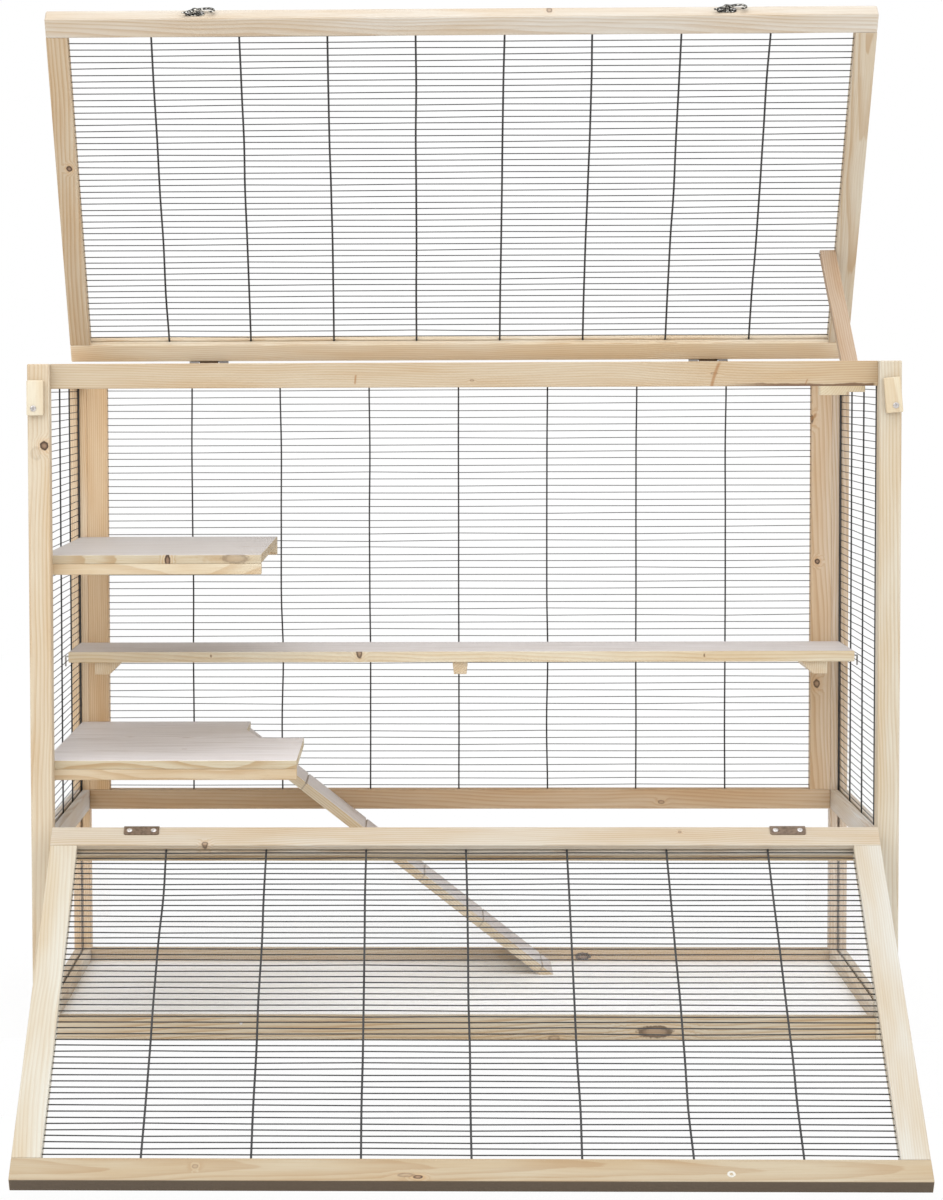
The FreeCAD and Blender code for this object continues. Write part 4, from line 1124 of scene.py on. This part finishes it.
def door_leaves(steel):
    """Door hinge leaves: a centre knuckle, a run under the door's edge and a round-cornered plate inside.

    The strap is a bar of rectangular section: ring k is centred on the path, half[k] wide either way along X
    and LEAF_HALF_THICK thick either way along the path's own normal.
    """
    bend = np.linspace(0, math.pi / 2, 6)[1:]
    turn_y, corner_z = LEAF_INSIDE - LEAF_BEND, LEAF_TOP - PLATE_CORNER
    path = [(1.6, LEAF_UNDER), (3.0, LEAF_UNDER), (3.1, LEAF_UNDER), (turn_y, LEAF_UNDER)]
    path += [(turn_y + LEAF_BEND * math.sin(a), LEAF_UNDER + LEAF_BEND * (1 - math.cos(a))) for a in bend]
    path += [(LEAF_INSIDE, corner_z)]
    path += [(LEAF_INSIDE, corner_z + PLATE_CORNER * math.sin(a)) for a in bend]
    half = [KNUCKLE_HALF] * 2 + [PLATE_HALF] * (3 + len(bend))
    half += [PLATE_HALF - PLATE_CORNER * (1 - math.cos(a)) for a in bend]
    path, half = np.array(path) * MM, np.array(half) * MM
    normal = np.insert(normals(path), 0, 0, 1) * LEAF_HALF_THICK * MM
    corners = np.array([[-1, -1], [1, -1], [1, 1], [-1, 1]])
    knuckle = [(0.1, 0), (2.3, 0), (2.6, 0.3), (2.6, 22.1), (2.3, 22.4), (0.1, 22.4)]
    parts = []
    for side in SIDES:
        line = np.concatenate([np.full((len(path), 1), DOOR_HINGE_X * side * MM), path], 1)
        rings = line[:, None, :] + corners[None, :, :1] * half[:, None, None] * np.array(X, float)
        rings = rings + corners[None, :, 1:] * normal[:, None, :]
        parts.append((moved(rings, DOOR), ring_faces(len(path), 4)))
        parts.append(turned(DOOR, (DOOR_HINGE_X * side - KNUCKLE_HALF, 0, 0), X, knuckle))
    piece = put("door_hinge_plates", "door", ["door_hinge_door_leaves"], parts, steel, False)
    bevelled(piece, "pressed_edge", LEAF_EASED, 2, 50)


def smooth_path(points, count):
    """Curve through given points: from point k to k + 1 the Catmull-Rom cubic of points k - 1 to k + 2."""
    points = np.asarray(points, float)
    ends = np.concatenate([[2 * points[0] - points[1]], points, [2 * points[-1] - points[-2]]])
    reach = np.linspace(0, len(points) - 1, count)
    index = np.minimum(reach.astype(int), len(points) - 2)
    t = (reach - index)[:, None]
    a, b, c, d = (ends[index + step] for step in range(4))
    square, cube = 2 * a - 5 * b + 4 * c - d, 3 * b - a - 3 * c + d
    return 0.5 * (2 * b + (c - a) * t + square * t**2 + cube * t**3)


# A swing hook's middle line, in mm from its pivot, and the half widths along it
HOOK_X = (-18, -13, -7, 0, 7, 14, 20, 24.6, 26.2, 24.0, 19.6)
HOOK_Z = (-6.4, -5.4, -2.2, 1.0, 3.0, 4.8, 5.2, 3.2, -0.6, -4.0, -4.2)
HOOK_HALF = (1.1, 2.6, 2.9, 4.2, 3.0, 2.7, 2.6, 2.3, 2.0, 1.7, 1.1)
HOOK_STEPS = 61
HOOK_HALF_THICK = 1.1 * MM
# Lathe profiles as (radius, height) in mm
HOOK_EYE = ((0.1, 0), (4.2, 0), (4.6, 0.5), (4.2, 2.2), (0.1, 2.3))
HOOK_BOSS = ((5.4, 0), (4.6, 0.8), (4.2, 3.2), (3.4, 3.5))
HOOK_RIVET = ((1.6, -4), (3.3, 0), (3.5, 0.5), (2.6, 1.2), (1.2, 1.5), (0.1, 1.55))
KEEPER_KNOB = ((3.0, 0.8), (2.2, 2.4), (2.2, 4.4), (3.4, 5.2), (3.6, 6.2), (2.8, 7.2), (0.1, 7.5))
STUD_RIM = ((0.2, -2.0), (4.9, -1.9), (5.0, 0.1), (4.7, 0.4), (4.0, 0.5), (2.4, 0.45))
STUD_DIMPLE = ((1.9, -0.2), (1.6, -0.7), (0.2, -0.75))


def latches(nickel):
    """Swing hooks on the lid's front edge: pressed plate, domed rivet, and a hook that curls over at one end.

    The hook is a bar of elliptical section along a curve through HOOK_X and HOOK_Z, with HOOK_HALF's widths.
    """
    turn = LID[:3, :3]
    line = smooth_path(np.stack([HOOK_X, HOOK_Z], -1), HOOK_STEPS)
    half = smooth_path(np.array(HOOK_HALF)[:, None], HOOK_STEPS)
    normal = np.insert(normals(line), 1, 0, 1)
    plates, domes = [], []
    for name, side in (("left", -1), ("right", 1)):
        x = LATCH_X * side
        path = np.stack([x + line[:, 0], np.full(HOOK_STEPS, -586.6), LATCH_LEVEL + line[:, 1]], -1) * MM
        thick_way = turn @ np.array([0, HOOK_HALF_THICK, 0])
        hook = tube(moved(path, LID), normal @ turn.T * half * MM, thick_way, 12)
        eye = turned(LID, (x, -585.6, 14.6), FORWARD, HOOK_EYE)
        bar = "latch_hook_bar_" + name
        put(bar, name + "_hook", ["latch_hook_" + name], [hook, eye], nickel)
        ways = (X, DOWN, FORWARD)
        plates.append(hung_slab(LID, (x, -580.9, LATCH_LEVEL), ways, (27, 13), 1.5, 5.5, 0.6))
        plates.append(turned(LID, (x, -582.2, LATCH_LEVEL), FORWARD, HOOK_BOSS))
        domes.append(turned(LID, (x, -588.0, LATCH_LEVEL), FORWARD, HOOK_RIVET))
    put("latch_plates_pressed", "lid", ["latch_plates"], plates + domes, nickel)


def keepers(nickel):
    """Keeper plates on the door's outer face, each with a knob for a swing hook."""
    parts = []
    for side in SIDES:
        place = (LATCH_X * side, 2.9, KEEPER_LEVEL)
        parts.append(hung_slab(DOOR, place, (X, Z, FORWARD), (27, 13.6), 1.3, 4.5, 0.5))
        parts.append(turned(DOOR, place, FORWARD, KEEPER_KNOB))
    put("door_keeper_plates", "door", ["door_keepers"], parts, nickel)


def door_stud():
    """Off-white plug: low dome with a pressed-in middle."""
    plug = turned(DOOR, (STUD_X, 21.4, KEEPER_LEVEL), Y, STUD_RIM + STUD_DIMPLE, 36)
    put("door_stud_plug", "door", ["door_stud"], [plug], stud_plastic())


def fittings():
    """The metal pieces, turn buttons, stud, panes and floor board."""
    zinc = metal("zinc_plate", (0.50, 0.49, 0.48), 0.30)
    bright = metal("bright_screw", (0.80, 0.76, 0.74), 0.30)
    # Painted reflection: this nickel's near-black patches stand for dark surroundings mirrored in the hooks
    # and keepers.
    nickel = metal("nickel_painted_reflection", (0.66, 0.63, 0.57), 0.14, 1500.0, 0.31, (0.40, 0.50))
    steel = metal("aged_steel", (0.280, 0.208, 0.155), 0.34)
    dress("shelf_hooks", zinc)
    dress("hinge_pins", steel)
    for node in ("lid_hinge_frame_leaves", "lid_hinge_lid_leaves", "door_hinge_frame_leaves"):
        dress(node, steel)
        ease_edges(frame["nodes"][node], LEAF_EASED)
    all_screws(bright)
    turn_buttons()
    door_leaves(steel)
    latches(nickel)
    keepers(nickel)
    door_stud()
    pane = clear_pane()
    for node in ("front_pane", "back_pane", "side_panes"):
        dress(node, pane)
    dress("floor_board", white_coating())


photo_camera()
studio()
all_meshes()
all_boards()
fittings()
